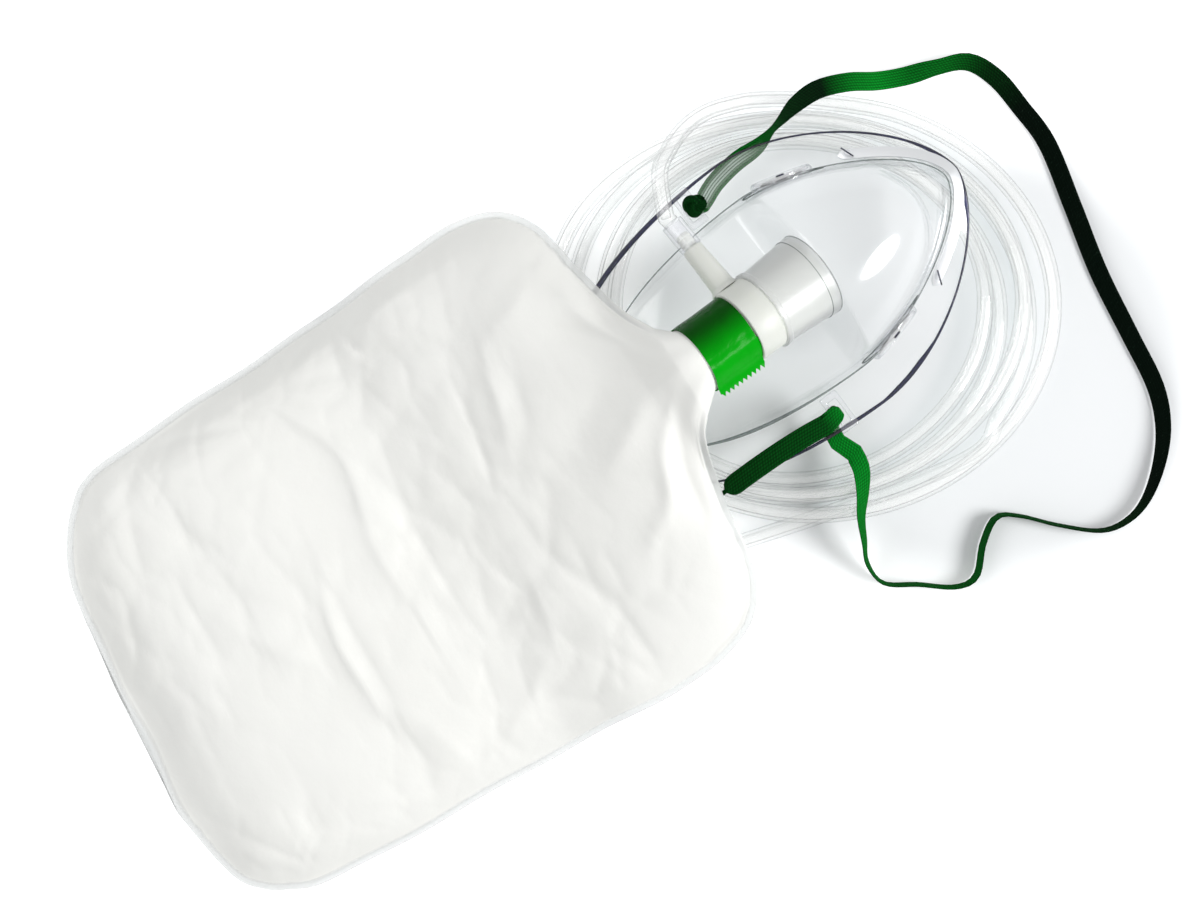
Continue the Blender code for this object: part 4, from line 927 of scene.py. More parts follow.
collar = {
    "length": 0.0194, "rim": 0.0135, "root": 0.0147, "wall": 0.0013, "inner": 0.0024, "sides": 128,
    "band": (0.0005, 0.0014, 0.0020),  # how far the band at the rim stands out, its width, its slope's end
    "flare": ((0, 0.0004), (0.0003, -0.0010)),  # the root's flare: out from the root, along the axis
    # rounded lip where the collar grows out of the dome, seen as a double arc
    "lips": ((0, 0.0016), (0.0002, -0.0020)), "lipBead": 0.00011, "lipSides": 8,
}
connector = {
    "length": 0.0094, "radius": 0.0130, "spigotLength": 0.0170, "spigotRadius": 0.0105, "wall": 0.0013,
    "pastWall": 0.0015, "seat": 0.0014, "seatFromCollar": 0.0062,
    "nippleLift": math.radians(-8), "nippleReach": 0.0301, "nippleBase": 0.0042, "nippleEnd": 0.0035,
    "barbLength": 0.0058, "barbRadius": 0.0024, "bore": 0.0012, "sides": 128, "nippleSides": 64,
    "throat": 0.0010, "seatSlope": 0.0030, "nippleFoot": 0.0006, "nippleFlare": 0.0012,
    "tipIn": 0.0003, "barb": 0.0002,  # the tip's chamfer, and how far each barb stands out
    "barbs": (0.0016, 0.0017, 0.0020, 0.0019),  # edges of the first barb from the tip, then of the second
}
cuff = {"length": 0.0104, "radius": 0.0038, "sides": 64}
inletFlap = {"radius": 0.0084, "eye": 0.0014, "thickness": 0.0005, "sides": 64}


def nippleSpot(reach):
    # a place on the nipple's axis, this far from the port's axis
    low = collar["length"] + layout["gap"]
    middle = portPlace + portAxis * (low + low + connector["length"]) / 2
    return middle + nippleWay() * reach


def nippleWay():
    lift = connector["nippleLift"]
    return portUp * math.sin(lift) + np.array((0, 1, 0)) * math.cos(lift)


def makeCollar():
    rim, root, wall, high = collar["rim"], collar["root"], collar["wall"], collar["length"]
    out, width, slope = collar["band"]
    turnedPiece("port_collar", (
        (rim + out, high), (rim + out, high - width), (rim, high - slope),
        *((root + across, along) for across, along in collar["flare"]), (root, -collar["inner"]),
        (root - wall, -collar["inner"]), (root - wall, 0.0), (rim - wall, high)),
        portPlace, portTurn, satinVinyl, collar["sides"], closed=True)
    for k, (across, along) in enumerate(collar["lips"]):
        ring = [portPoint(along, a, root + across) for a in np.linspace(0, 2 * math.pi, 145)]
        makeBead("collar_lip_" + str(k), ring, collar["lipBead"], collar["lipSides"], lineVinyl)


def makeConnector():
    gap, wall, past = layout["gap"], connector["wall"], -connector["pastWall"]
    low = collar["length"] + gap
    high = low + connector["length"]
    end = high + connector["spigotLength"]
    root, tip = collar["root"] - collar["wall"] - gap, collar["rim"] - collar["wall"] - gap
    spigot = connector["spigotRadius"]
    inner = spigot - wall
    seatLow = low + connector["seatFromCollar"]
    seatHigh = seatLow + connector["seat"]
    body = turnedPiece("connector_shell", (
        (0.0, seatHigh), (inner, seatHigh), (inner, end), (spigot, end), (spigot, high),
        (connector["radius"], high), (connector["radius"], low), (tip, low), (root, past),
        (root - wall, past), (inner + connector["throat"], low - connector["throat"]),
        (inner, seatLow - connector["seatSlope"]), (inner, seatLow), (0.0, seatLow)),
        portPlace, portTurn, bodyPlastic, connector["sides"])
    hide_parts("connector_body")
    middle, turn = nippleSpot(0.0), quaternionTo(nippleWay())
    reach, barb, skin = connector["nippleReach"], connector["barbRadius"], connector["radius"]
    barbEnd, flare, foot = reach + connector["barbLength"], connector["nippleFlare"], connector["nippleFoot"]
    tooth, (a, b, c, d) = connector["barb"], connector["barbs"]
    turnedPiece("oxygen_nipple", (
        (connector["bore"], barbEnd), (barb - connector["tipIn"], barbEnd), (barb + tooth, barbEnd - a),
        (barb - tooth, barbEnd - b), (barb + tooth, reach + c), (barb - tooth, reach + d),
        (barb, reach), (connector["nippleEnd"], reach), (connector["nippleBase"], skin + flare),
        (connector["nippleBase"] + flare, skin - foot), (connector["bore"], skin - foot)),
        middle, turn, bodyPlastic, connector["nippleSides"], closed=True)
    near, far = reach + gap, reach + gap + cuff["length"]
    sleeve = turnedPiece("hose_cuff", (
        (barb + gap, far), (cuff["radius"], far), (cuff["radius"], near), (barb + gap, near)),
        middle, turn, portVinyl, cuff["sides"], closed=True)
    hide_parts("tubing_cuff")
    eye, edge, under = inletFlap["eye"], inletFlap["radius"], seatLow - inletFlap["thickness"]
    flap = turnedPiece("inlet_flap", ((eye, seatLow), (edge, seatLow), (edge, under), (eye, under)),
                       portPlace, portTurn, discSilicone, inletFlap["sides"], closed=True)
    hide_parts("inlet_valve_disc")


# Tube: one clear hose from the nipple through the loose coil to the soft funnel

hose = {
    "diameter": 0.0056,
    "bore": 0.0017,
    "boreRibs": (5, 0.22),  # how many, and how far they stand in as a share of the bore
    "step": 0.0024,
    "sides": 20,
    "straightOut": 0.0030,  # how far the tube runs on straight past the cuff
    "leadRoute": ((-0.0026, 0.0560, 0.0405), (0.0046, 0.0610, 0.0345), (0.0143, 0.0647, 0.0270),
                  (0.0243, 0.0656, 0.0185), (0.0335, 0.0635, 0.0130), (0.0431, 0.0592, 0.0096)),
    "coilCentre": (0.0141, -0.0101),  # from the mask's place
    "coilTurn": math.radians(-36.4),
    "coilMeet": math.radians(14),  # the first turn starts this far past the lead's end
    # turn of the coil, its half length and half width, how far its centre drifts, its height
    "turns": (
        (0.0, 0.0851, 0.0725, 0.0009, 0.0002, 0.0087), (0.6, 0.0799, 0.0688, -0.0004, 0.0005, 0.0087),
        (0.8, 0.0830, 0.0700, -0.0070, 0.0010, 0.0087), (0.95, 0.0785, 0.0672, -0.0035, 0.0008, 0.0087),
        (1.1, 0.0757, 0.0654, -0.0014, 0.0008, 0.0087),
        (2.0, 0.0665, 0.0595, -0.0035, 0.0012, 0.0087), (2.5, 0.0610, 0.0570, -0.0045, 0.0000, 0.0029),
        (3.0, 0.0665, 0.0600, -0.0035, 0.0000, 0.0029), (3.6, 0.0715, 0.0640, -0.0030, 0.0002, 0.0029),
        (3.8, 0.0775, 0.0665, -0.0060, 0.0004, 0.0029), (4.0, 0.0745, 0.0668, -0.0030, 0.0004, 0.0029),
        (4.5, 0.0800, 0.0705, -0.0010, 0.0000, 0.0029)),
    "coilEnd": 4.44,
    "perTurn": 18,  # points
    "wobble": (0.0008, 3.1),  # how far each turn strays, and how many times a turn
    # past the coil the tube turns to the funnel: from the funnel's neck, x, y and height
    "funnelRoute": ((0.0016, -0.020, -0.0017), (0, -0.008, -0.0005), (0, 0.008, 0)),
}
funnel = {
    "place": (-0.0760, -0.0311, 0.0057),  # its neck's end, from the mask's place
    "mouth": 0.0400, "depth": 0.0240, "sides": 48,
    "rim": (0.0040, 0.0057, 0.0020),  # radius inside and outside, and width of the rim
    "skirt": (0.0053, 0.0024),  # radius under the rim, and how far from the mouth it starts
    "throat": (0.0055, 0.0020), "taper": 0.0060,  # the outside narrows over this length
    "neck": (0.0041, 0.0029, 0.0085),  # radius outside and inside, and depth of the tube's seat
    "bore": (0.0021, 0.0090), "seat": (0.0034, 0.0010),
}


def coilSpots(start):
    # the coil's turns, worked out in its own frame from the angle at which the lead arrives
    cx, cy = fromMask([hose["coilCentre"]])[0]
    cos, sin = math.cos(hose["coilTurn"]), math.sin(hose["coilTurn"])
    dx, dy = start[0] - cx, start[1] - cy
    first = math.atan2(-dx * sin + dy * cos, dx * cos + dy * sin) - hose["coilMeet"]
    turns = np.array(hose["turns"])
    stray, waves = hose["wobble"]
    for now in np.arange(0.0, hose["coilEnd"], 1 / hose["perTurn"]):
        long, wide, driftX, driftY, z = [np.interp(now, turns[:, 0], turns[:, i]) for i in range(1, 6)]
        angle = first - 2 * math.pi * now
        wobble = stray * math.sin(waves * angle + now) * min(now, 1.0)
        x = (long + wobble) * math.cos(angle) + driftX
        y = (wide + wobble) * math.sin(angle) + driftY
        yield cx + x * cos - y * sin, cy + x * sin + y * cos, z


def hoseRoute():
    leave = connector["nippleReach"] + cuff["length"] + 2 * layout["gap"]
    start = [nippleSpot(leave), nippleSpot(leave + hose["straightOut"])]
    lead = fromMask(hose["leadRoute"])
    fx, fy, fz = funnel["place"]
    end = fromMask([(fx + x, fy + y, fz + z) for x, y, z in hose["funnelRoute"]])
    return [*map(tuple, start), *lead, *coilSpots(lead[-1]), *end]


def makeHose():
    path = smoothPath(hoseRoute(), hose["step"])
    outer, faces = sweptTube(path, hose["diameter"] / 2, hose["sides"])
    # star bore: low ribs keep the tube open when it is kinked, and show as fine streaks
    ribs, stand = hose["boreRibs"]
    bore, boreFaces = sweptTube(path[1:-1], hose["bore"], hose["sides"],
                                lambda a: 1.0 - stand * max(0.0, math.cos(ribs * a))**2)
    faces += [tuple(len(outer) + i for i in face) for face in boreFaces]
    piece = makePiece("oxygen_hose", [*outer, *bore], faces, tubeVinyl)
    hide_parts("tubing_lead", "tubing_coil")
    return piece, path


def makeFunnel():
    mouth, throat = funnel["mouth"], funnel["mouth"] - funnel["depth"]
    inside, outside, width = funnel["rim"]
    neck, socket, depth = funnel["neck"]
    bore, boreFrom = funnel["bore"]
    piece = turnedPiece("hose_funnel", (
        (inside, mouth), (outside, mouth), (outside, mouth - width),
        (funnel["skirt"][0], mouth - funnel["skirt"][1]),
        (funnel["throat"][0], throat + funnel["throat"][1]), (neck, throat - funnel["taper"]),
        (neck, 0.0), (socket, 0.0), (socket, depth), (bore, boreFrom), (bore, throat),
        (funnel["seat"][0], throat + funnel["seat"][1])),
        fromMask([funnel["place"]])[0], quaternionTo((0, 1, 0)), tubeVinyl,
        funnel["sides"], closed=True)
    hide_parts("tubing_end_connector")
    return piece


# Reservoir bag: two welded films, laid from the connector's spigot down onto the table

bag = {
    "neckRadius": 0.0116, "neckRings": (0.0294, 0.0354, 0.0414, 0.0482), "yaw": math.radians(-4.0),
    "skew": 0.103, "skewFrom": 0.06, "step": 0.0011, "upper": 108, "lower": 44,
    "lip": 0.0019, "lipHalf": 0.00018, "lipFade": 0.0007, "swell": 0.0110, "most": 0.0125,
    "loose": (0.004, 0.012),  # the film leaves the round neck here, and lies flat this much further
    # waves of the welded edges and of the neck: height and how many to the metre or to the turn
    "sideWave": (0.0045, 130), "endWave": (0.0006, 150), "neckWave": (0.0005, 9),
    "sag": (0.0026, 0.020),  # how deep the edge sags to the table past the mask, and how wide
    "foldRamp": (0.002, 0.009),  # folds start this far inside the edge and grow over this much
    "sagRamp": (0.075, 0.03), "sideRamp": (0.05, 0.05), "endRamp": (0.18, 0.03),  # where, over how far
    "fullness": (1.0, 0.6, 0.06),  # power of the round section, its gain and over how far
    "pillow": 0.55, "underside": (1.5, 0.006), "lowest": (0.0001, 0.0004),  # under and upper film
    "ripple": (0.0009, 25), "crumpleRamp": (0.003, 0.008),
    "crumples": ((0.036, 0.0027), (0.017, 0.0014), (0.009, 0.0004)),  # size of the facets, height
    "crumpleWarp": (30, 0.004), "crumplePatches": (16, 0.5, 0.8), "crumpleEdge": 0.25,
    # distance, half width left and right, height of the edge, fullness above and below, droop
    "stations": (
        (0.0050, 0.0160, 0.0170, 0.0530, 0.0112, 0.0112, 0.0000),
        (0.0100, 0.0270, 0.0245, 0.0512, 0.0105, 0.0108, 0.0020),
        (0.0145, 0.0470, 0.0440, 0.0480, 0.0100, 0.0110, 0.0080),
        (0.0180, 0.0660, 0.0680, 0.0450, 0.0097, 0.0115, 0.0130),
        (0.0270, 0.0780, 0.0825, 0.0395, 0.0093, 0.0105, 0.0130),
        (0.0420, 0.0830, 0.0892, 0.0320, 0.0090, 0.0080, 0.0090),
        (0.0600, 0.0832, 0.0910, 0.0230, 0.0088, 0.0050, 0.0040),
        (0.0750, 0.0832, 0.0905, 0.0165, 0.0090, 0.0040, 0.0010),
        (0.0920, 0.0830, 0.0898, 0.0085, 0.0095, 0.0030, 0.0000),
        (0.1080, 0.0828, 0.0892, 0.0040, 0.0100, 0.0036, 0.0000),
        (0.1450, 0.0822, 0.0873, 0.0040, 0.0105, 0.0036, 0.0000),
        (0.1900, 0.0812, 0.0840, 0.0040, 0.0090, 0.0036, 0.0000),
        (0.2055, 0.0785, 0.0780, 0.0040, 0.0070, 0.0036, 0.0000),
        (0.2130, 0.0735, 0.0728, 0.0040, 0.0055, 0.0036, 0.0000),
        (0.2190, 0.0660, 0.0660, 0.0040, 0.0038, 0.0034, 0.0000),
        (0.2242, 0.0530, 0.0530, 0.0040, 0.0020, 0.0026, 0.0000),
        (0.2270, 0.0360, 0.0360, 0.0040, 0.0008, 0.0018, 0.0000)),
    # folds in the film: height, spread on the left and on the right of the line, all in mm, then
    # the line's points as mm from the neck's end and mm across
    "folds": (
        (2.6, 13, 3.4, ((131, 76), (122, 56), (116, 41), (117, 26), (122, 7), (123, -16))),
        (-1.7, 4, 11, ((112, 34), (108, 16), (110, -4), (118, -14))),
        (2.2, 7, 2.2, ((146, 2), (150, -12), (151, -24), (151, -45))),
        (-1.6, 2.5, 10, ((143, 0), (145, -20), (146, -44))),
        (-1.6, 3.5, 9, ((176, 50), (172, 23), (172, 3))),
        (1.5, 8, 3, ((178, 8), (172, -3), (160, -18))),
        (-1.3, 4, 6, ((153, -45), (148, -62), (153, -80))),
        (1.0, 4, 9, ((146, -44), (138, -62), (136, -80))),
        (-1.3, 7, 4, ((185, 70), (188, 62), (196, 40))),
        (-1.0, 3, 3, ((189, -56), (193, -60), (192, -66))),
        (1.6, 10, 5, ((30, 52), (40, 46), (53, 42), (60, 30))),
        (1.6, 6, 2.4, ((58, 34), (61, 21), (66, 9))),
        (-1.2, 3, 8, ((52, 30), (54, 18), (60, 8))),
        (-2.0, 9, 8, ((28, 10), (37, 3), (49, -4))),
        (2.4, 5, 4, ((20, -3), (30, -9), (40, -14))),
        (2.6, 3.5, 3.0, ((14, -8), (24, -20), (30, -34), (44, -44))),
        (-2.2, 4, 4, ((14, -14), (20, -28), (22, -44))),
        (2.2, 3, 3, ((12, 10), (18, 24), (24, 40))),
        (-2.0, 4, 4, ((14, 16), (24, 26), (34, 34))),
        (-0.9, 1.6, 5, ((75, -4), (75, -14), (73, -32), (63, -58), (63, -85))),
        (0.8, 4, 1.6, ((84, -31), (85, -44), (89, -56))),
        (0.9, 2.5, 5, ((89, -56), (101, -63), (106, -72))),
        (-0.8, 2, 4, ((64, -30), (65, -38), (66, -46))),
        (1.0, 5, 3, ((98, -63), (111, -69), (122, -76))),
        (1.1, 8, 8, ((214, -14), (204, -7), (194, -19), (177, -25))),
        (0.9, 12, 12, ((160, 40), (150, 34), (140, 30))),
        (0.8, 9, 9, ((104, 60), (92, 50), (84, 34))),
        (-0.8, 8, 8, ((96, -8), (90, -24), (96, -40))),
        (0.7, 8, 7, ((204, -44), (184, -46), (168, -56)))),
}


def foldHeight(alongs, acrosses):
    # sum of the folds at places given in metres
    places = np.stack([alongs, acrosses], axis=-1) * 1000
    total = np.zeros(places.shape[:-1])
    for height, left, right, line in bag["folds"]:
        line = smoothPath([(*p, 0) for p in line], 3.0)[:, :2]
        best = np.full(total.shape, 1e9)
        value = np.zeros(total.shape)
        count = len(line) - 1
        for i, (p, q) in enumerate(zip(line, line[1:])):
            run = q - p
            share = np.clip(((places - p) @ run) / run.dot(run), 0, 1)
            offset = places - (p + share[..., None] * run)
            away = np.linalg.norm(offset, axis=-1)
            onLeft = (run[0] * offset[..., 1] - run[1] * offset[..., 0]) > 0
            spread = np.where(onLeft, right, left)
            crest = height * np.exp(-np.sqrt((away / spread)**2 + 0.05) + 0.22)
            crest *= np.sin(math.pi * (0.12 + 0.76 * (i + share) / count))**0.8
            value = np.where(away < best, crest, value)
            best = np.minimum(best, away)
        total += value
    return total / 1000


def crumple(x, y):
    # creased film: flat facets that meet in straight lines, gathered in patches; metres
    waves, reach = bag["crumpleWarp"]
    warp = noise.noise(Vector((x * waves, y * waves, 4.0))) * reach
    waves, middle, swing = bag["crumplePatches"]
    where = middle + swing * noise.noise(Vector((x * waves, y * waves, 9.0)))
    total = 0.0
    for size, height in bag["crumples"]:
        near = noise.voronoi(Vector(((x + warp) / size, (y - warp) / size, size * 700)))[0]
        facet = near[1] - near[0]
        total += height * facet / (facet + bag["crumpleEdge"]) * min(max(where, 0.15), 1.0)
    return total


def bagRows():
    # one row a step: distance, then half widths, edge height, fullness above and below, droop
    rows = smoothPath([(r[0], 0, 0, *r[1:]) for r in bag["stations"]], bag["step"])
    return np.vstack([rows[rows[:, 0] < bag["stations"][-1][0] - 0.0001], rows[-1]])


def bagPlan(rows, share):
    # how far each point lies along the bag and across it, from the neck's end
    distance, left, right = rows[:, [0, 3, 4]].T[:, :, None]
    size, waves = bag["sideWave"]
    wavy = 1 + size * np.sin(distance * waves) * smoothStep(distance, *bag["sideRamp"])
    across = np.where(share > 0, left, right) * share * wavy
    skew = bag["skew"] * smoothStep(distance, bag["skewFrom"], bag["stations"][-1][0] - bag["skewFrom"])
    size, waves = bag["endWave"]
    along = distance - skew * across + size * np.sin(across * waves) * smoothStep(
        distance, *bag["endRamp"])
    return along, across


def insideWeld(along, across):
    # how far each point lies in plan from the welded edge
    turn = bag["upper"]
    edge = np.vstack([np.stack([along[:, 0], across[:, 0]], 1), np.stack([along[-1], across[-1]], 1)[:turn],
                      np.stack([along[::-1, turn], across[::-1, turn]], 1)])
    run = edge[1:] - edge[:-1]
    inside = np.empty(across.shape)
    for i in range(len(inside)):
        spot = np.stack([along[i], across[i]], 1)[:, None, :]
        part = np.clip(((spot - edge[:-1]) * run).sum(2) / np.maximum((run * run).sum(1), 1e-12), 0, 1)
        inside[i] = np.sqrt((((edge[:-1] + part[..., None] * run) - spot)**2).sum(2)).min(1)
    return inside


def filmHeights(rows, arounds, along, across, inside):
    distance, edgeZ, above, below, droop = rows[:, [0, 5, 6, 7, 8]].T[:, :, None]
    free = smoothStep(distance, *bag["loose"])  # 0 at the round neck, 1 where the weld lies flat
    power, gain, reach = bag["fullness"]
    rise = np.abs(np.sin(arounds))**(power + gain * smoothStep(distance, 0, reach))
    lip, half = bag["lip"], bag["lipHalf"]
    swell = 1 - np.exp(-np.maximum(inside - lip, 0) / bag["swell"])
    swell *= smoothStep(inside, lip * 0.8, 0.0012)
    full = np.minimum(above * swell * (bag["pillow"] + (1 - bag["pillow"]) * rise), bag["most"])
    lift = half + above * rise * (1 - free) + full * free
    blunt, reach = bag["underside"]
    under = -half - below * np.minimum(1.0, blunt * rise) * (
        (1 - free) + free * smoothStep(inside, lip, reach))
    isUpper = arounds <= math.pi + 1e-9
    z = edgeZ + np.where(isUpper, lift, under) - droop * np.cos(arounds)**2
    z += np.where(isUpper, foldHeight(along, across) * smoothStep(inside, *bag["foldRamp"]) * free, 0.0)
    size, waves = bag["neckWave"]
    z += size * np.sin(arounds * waves + 0.7) * (1 - free) * smoothStep(distance, 0, 0.004)
    deep, wide = bag["sag"]
    z -= deep * (1 - smoothStep(inside, 0, wide)) * smoothStep(distance, *bag["sagRamp"])
    return z, free[:, 0], isUpper


def makeBag():
    rows = bagRows()
    arounds = np.r_[np.linspace(0, math.pi, bag["upper"] + 1),
                    np.linspace(math.pi, 2 * math.pi, bag["lower"] + 2)[1:-1]]
    along, across = bagPlan(rows, np.cos(arounds))
    inside = insideWeld(along, across)
    heights, free, isUpper = filmHeights(rows, arounds, along, across, inside)
    start = portPoint(bag["neckRings"][-1], 0.0, 0.0)
    ahead = np.array((-math.cos(bag["yaw"]), -math.sin(bag["yaw"])))
    aside = np.array((-math.sin(bag["yaw"]), math.cos(bag["yaw"])))
    points = [portPoint(ring, a, bag["neckRadius"]) for ring in bag["neckRings"] for a in arounds]
    weld = [0.0] * len(points)
    rippleHeight, ripples = bag["ripple"]
    creasedFrom, creasedOver = bag["crumpleRamp"]
    for i in range(len(rows)):
        ring = start[:2] + ahead * along[i][:, None] + aside * across[i][:, None]
        for k, (x, y) in enumerate(ring):
            height, depth = heights[i, k], inside[i, k]
            if isUpper[k] and depth > creasedFrom:
                height += rippleHeight * noise.noise(Vector((x * ripples, y * ripples, 0.0))) * free[i]
                height += crumple(x, y) * free[i] * min((depth - creasedFrom) / creasedOver, 1.0)
            points.append((x, y, max(height, bag["lowest"][int(isUpper[k])])))
            weld.append(float(free[i] * (1 - smoothStep(depth, bag["lip"], bag["lipFade"]))))
    faces = ringFaces(len(bag["neckRings"]) + len(rows), len(arounds))
    piece = makePiece("reservoir_bag_film", points, faces, bagFilm, numbers={"weld": weld})
    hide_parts("reservoir_bag")


# Tape round the bag's neck: one and a bit turns, its end cut on a serrated edge

tape = {
    "low": 0.0294, "width": 0.0182, "inner": 0.0119, "thickness": 0.00028, "start": math.radians(118),
    "end": math.radians(360 + 174), "leaves": math.radians(360 + 150),  # past this angle it stands off
    "lift": 0.012,  # how strongly the end bends away there
    "overlap": (0.25, 1.25),  # climbs over its start in this angle, by this many thicknesses
    "shift": 0.0010, "pull": 0.00010, "steps": 260, "rows": 60, "tooth": 0.0018, "toothDepth": 0.0014,
    "cutFrom": 0.9,  # share of the length from which the rows bend to the serrated cut
    # painted light and shade of the tape: its darkest level, what it adds on the lit side, and where round
    # the neck it grows
    "paintedTapeLight": (0.02, 0.75, 0.9, 1.2),
}


def tapeSpot(share, layer, side):
    # a point of the tape, and its painted light there
    teeth = abs((side * tape["width"] / tape["tooth"]) % 1 - 0.5) * 2
    cut = tape["toothDepth"] / tape["inner"] * teeth * smoothStep(share, tape["cutFrom"],
                                                                  1 - tape["cutFrom"])
    angle = tape["start"] + (tape["end"] - tape["start"]) * share - cut
    climb, thicknesses = tape["overlap"]
    above = smoothStep(angle, tape["start"] + 2 * math.pi - climb, climb)
    pull = tape["pull"] * noise.noise(Vector((angle * 3, side * 5, 0.3)))
    radius = tape["inner"] + tape["thickness"] * (above * thicknesses + layer) + pull
    along = tape["low"] + tape["width"] * side + tape["shift"] * (share - 0.5)
    bent = min(angle, tape["leaves"])
    spot = portPoint(along, bent, radius)
    ahead = portUp * math.cos(bent) - np.array((0, 1, 0)) * math.sin(bent)
    away = (spot - portPoint(along, bent, 0.0)) / radius
    spot = spot + ahead * radius * (angle - bent) + away * tape["lift"] * (angle - bent)**2
    # painted light and shade round the neck: darkest on the +Y side, lighter past the top; loose here is the
    # painted light added
    tapeShadeLevel, loose, start, over = tape["paintedTapeLight"]
    return spot, float(tapeShadeLevel + loose * smoothStep(angle % (2 * math.pi), start, over))


def makeTape():
    columns, rows = tape["steps"], tape["rows"]
    points, paintedTapeLight = zip(*[tapeSpot(i / columns, layer, k / rows) for i in range(columns + 1)
                          for layer in (0, 1) for k in range(rows + 1)])

    def at(i, layer, k):
        return (i * 2 + layer) * (rows + 1) + k

    faces = []
    for i in range(columns):
        for k in range(rows):
            faces.append((at(i, 1, k), at(i + 1, 1, k), at(i + 1, 1, k + 1), at(i, 1, k + 1)))
            faces.append((at(i, 0, k + 1), at(i + 1, 0, k + 1), at(i + 1, 0, k), at(i, 0, k)))
        for k in (0, rows):
            faces.append((at(i, 0, k), at(i + 1, 0, k), at(i + 1, 1, k), at(i, 1, k)))
    for i in (0, columns):
        for k in range(rows):
            faces.append((at(i, 0, k), at(i, 0, k + 1), at(i, 1, k + 1), at(i, 1, k)))
    piece = makePiece("neck_tape", points, faces, tapeVinyl, numbers={"paintedTapeLight": paintedTapeLight})
    piece.data.set_sharp_from_angle(angle=turning["sharpFrom"])
    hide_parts("neck_band")


# Head strap: ribbed elastic from the knot in the upper lug round to the lower lug

strap = {
    "width": 0.0065, "thickness": 0.0009, "lift": 0.0003, "step": 0.0025, "ribs": 7, "ribHeight": 0.00022,
    # shares of the strap's length, the painted light and shade of the knit there, how pale its middle is
    "paintedLights": (
        (0, 0.15, 0), (0.012, 0.4, 0.9), (0.055, 0.4, 0.85), (0.075, 0.3, 0), (0.095, 0.05, 0),
        (0.130, 0.02, 0), (0.150, 0.55, 0), (0.170, 0.8, 0), (0.195, 0.45, 0), (0.22, 0.4, 0),
        (0.245, 0.08, 0), (0.28, 0.0, 0), (0.55, 0.0, 0), (0.64, 0.15, 0), (0.70, 0.3, 0),
        (0.79, 0.35, 0), (0.84, 0.7, 0), (0.895, 0.75, 0), (0.908, 0.7, 0), (0.922, 0.2, 0),
        (1.0, 0.12, 0)),
    # at the lugs: offset in x, y and height, then shares of width and thickness
    "inKnot": ((0, 0, 0.0012, 1, 1), (0, 0, 0, 1, 1)),
    "underUpperLug": ((0, 0, 0.0012, 1, 1), (0.0005, 0, 0.0004, 1, 1), (0.0015, 0, 0, 1, 1)),
    "underLowerLug": (
        (-0.0060, -0.0082, 0, 0.95, 1), (-0.0054, -0.0036, 0, 0.9, 1), (-0.0034, -0.0006, 0, 0.9, 1),
        (-0.0015, 0, 0, 0.9, 1), (-0.0005, 0, 0.0004, 0.9, 1), (0, 0, 0.0012, 0.8, 1)),
    "onLowerLug": ((0.0004, 0, 0.0002, 0.5, 1), (0.0002, 0, 0.0008, 0.62, 1.2),
                   (-0.0005, 0, 0.0012, 0.78, 1.3), (-0.0016, 0, 0.0014, 0.92, 1.4)),
    # place from the mask, height of what it lies on and roll in degrees
    "loop": (
        (0.0061, 0.0418, 0.0120, 0), (0.0134, 0.0448, 0.0120, 0), (0.0233, 0.0464, 0.0120, 8),
        (0.0325, 0.0462, 0.0120, 40), (0.0393, 0.0476, 0.0120, 74), (0.0438, 0.0486, 0.0118, 66),
        (0.0510, 0.0500, 0.0118, 38), (0.0605, 0.0498, 0.0118, 14), (0.0710, 0.0458, 0.0100, 4),
        (0.0801, 0.0407, 0.0050, 0), (0.0898, 0.0365, 0.0010, 0), (0.1000, 0.0325, 0.0000, 42),
        (0.1103, 0.0274, 0.0000, 36), (0.1148, 0.0171, 0.0000, 30), (0.1156, 0.0040, 0.0000, 35),
        (0.1155, -0.0118, 0.0000, 35), (0.1096, -0.0350, 0.0000, 35), (0.1035, -0.0580, 0.0000, 35),
        (0.0994, -0.0812, 0.0000, 40), (0.0959, -0.1009, 0.0000, 42), (0.0899, -0.1137, 0.0000, 52),
        (0.0810, -0.1234, 0.0000, 64), (0.0700, -0.1307, 0.0000, 76), (0.0603, -0.1328, 0.0000, 82),
        (0.0507, -0.1301, 0.0000, 82), (0.0401, -0.1199, 0.0000, 82), (0.0314, -0.1096, 0.0000, 82),
        (0.0245, -0.1050, 0.0000, 82), (0.0156, -0.1095, 0.0000, 82), (0.0068, -0.1173, 0.0000, 82),
        (-0.0012, -0.1160, 0.0000, 82), (-0.0110, -0.1077, 0.0000, 82), (-0.0202, -0.1004, 0.0000, 82),
        (-0.0210, -0.0913, 0.0035, 74), (-0.0178, -0.0838, 0.0090, 68), (-0.0140, -0.0762, 0.0118, 58),
        (-0.0088, -0.0699, 0.0122, 44), (-0.0043, -0.0634, 0.0122, 20), (-0.0027, -0.0574, 0.0120, 0)),
    "tail": (
        (-0.0055, -0.0435, 0.0200), (-0.0132, -0.0425, 0.0202), (-0.0239, -0.0417, 0.0203),
        (-0.0358, -0.0414, 0.0198), (-0.0475, -0.0415, 0.0190)),
    "tailShares": (1.1, 1.5),  # of width and thickness
    "tailThickness": (0.9, 0.6, 0.004),  # share at the end, its gain and over how far
    # the tail's end is drawn together and cut, so it narrows to a short dark tip
    "tip": (0.0018, 0.0040, 0.22),  # length of the blunt end, length of the narrowing, least width
}


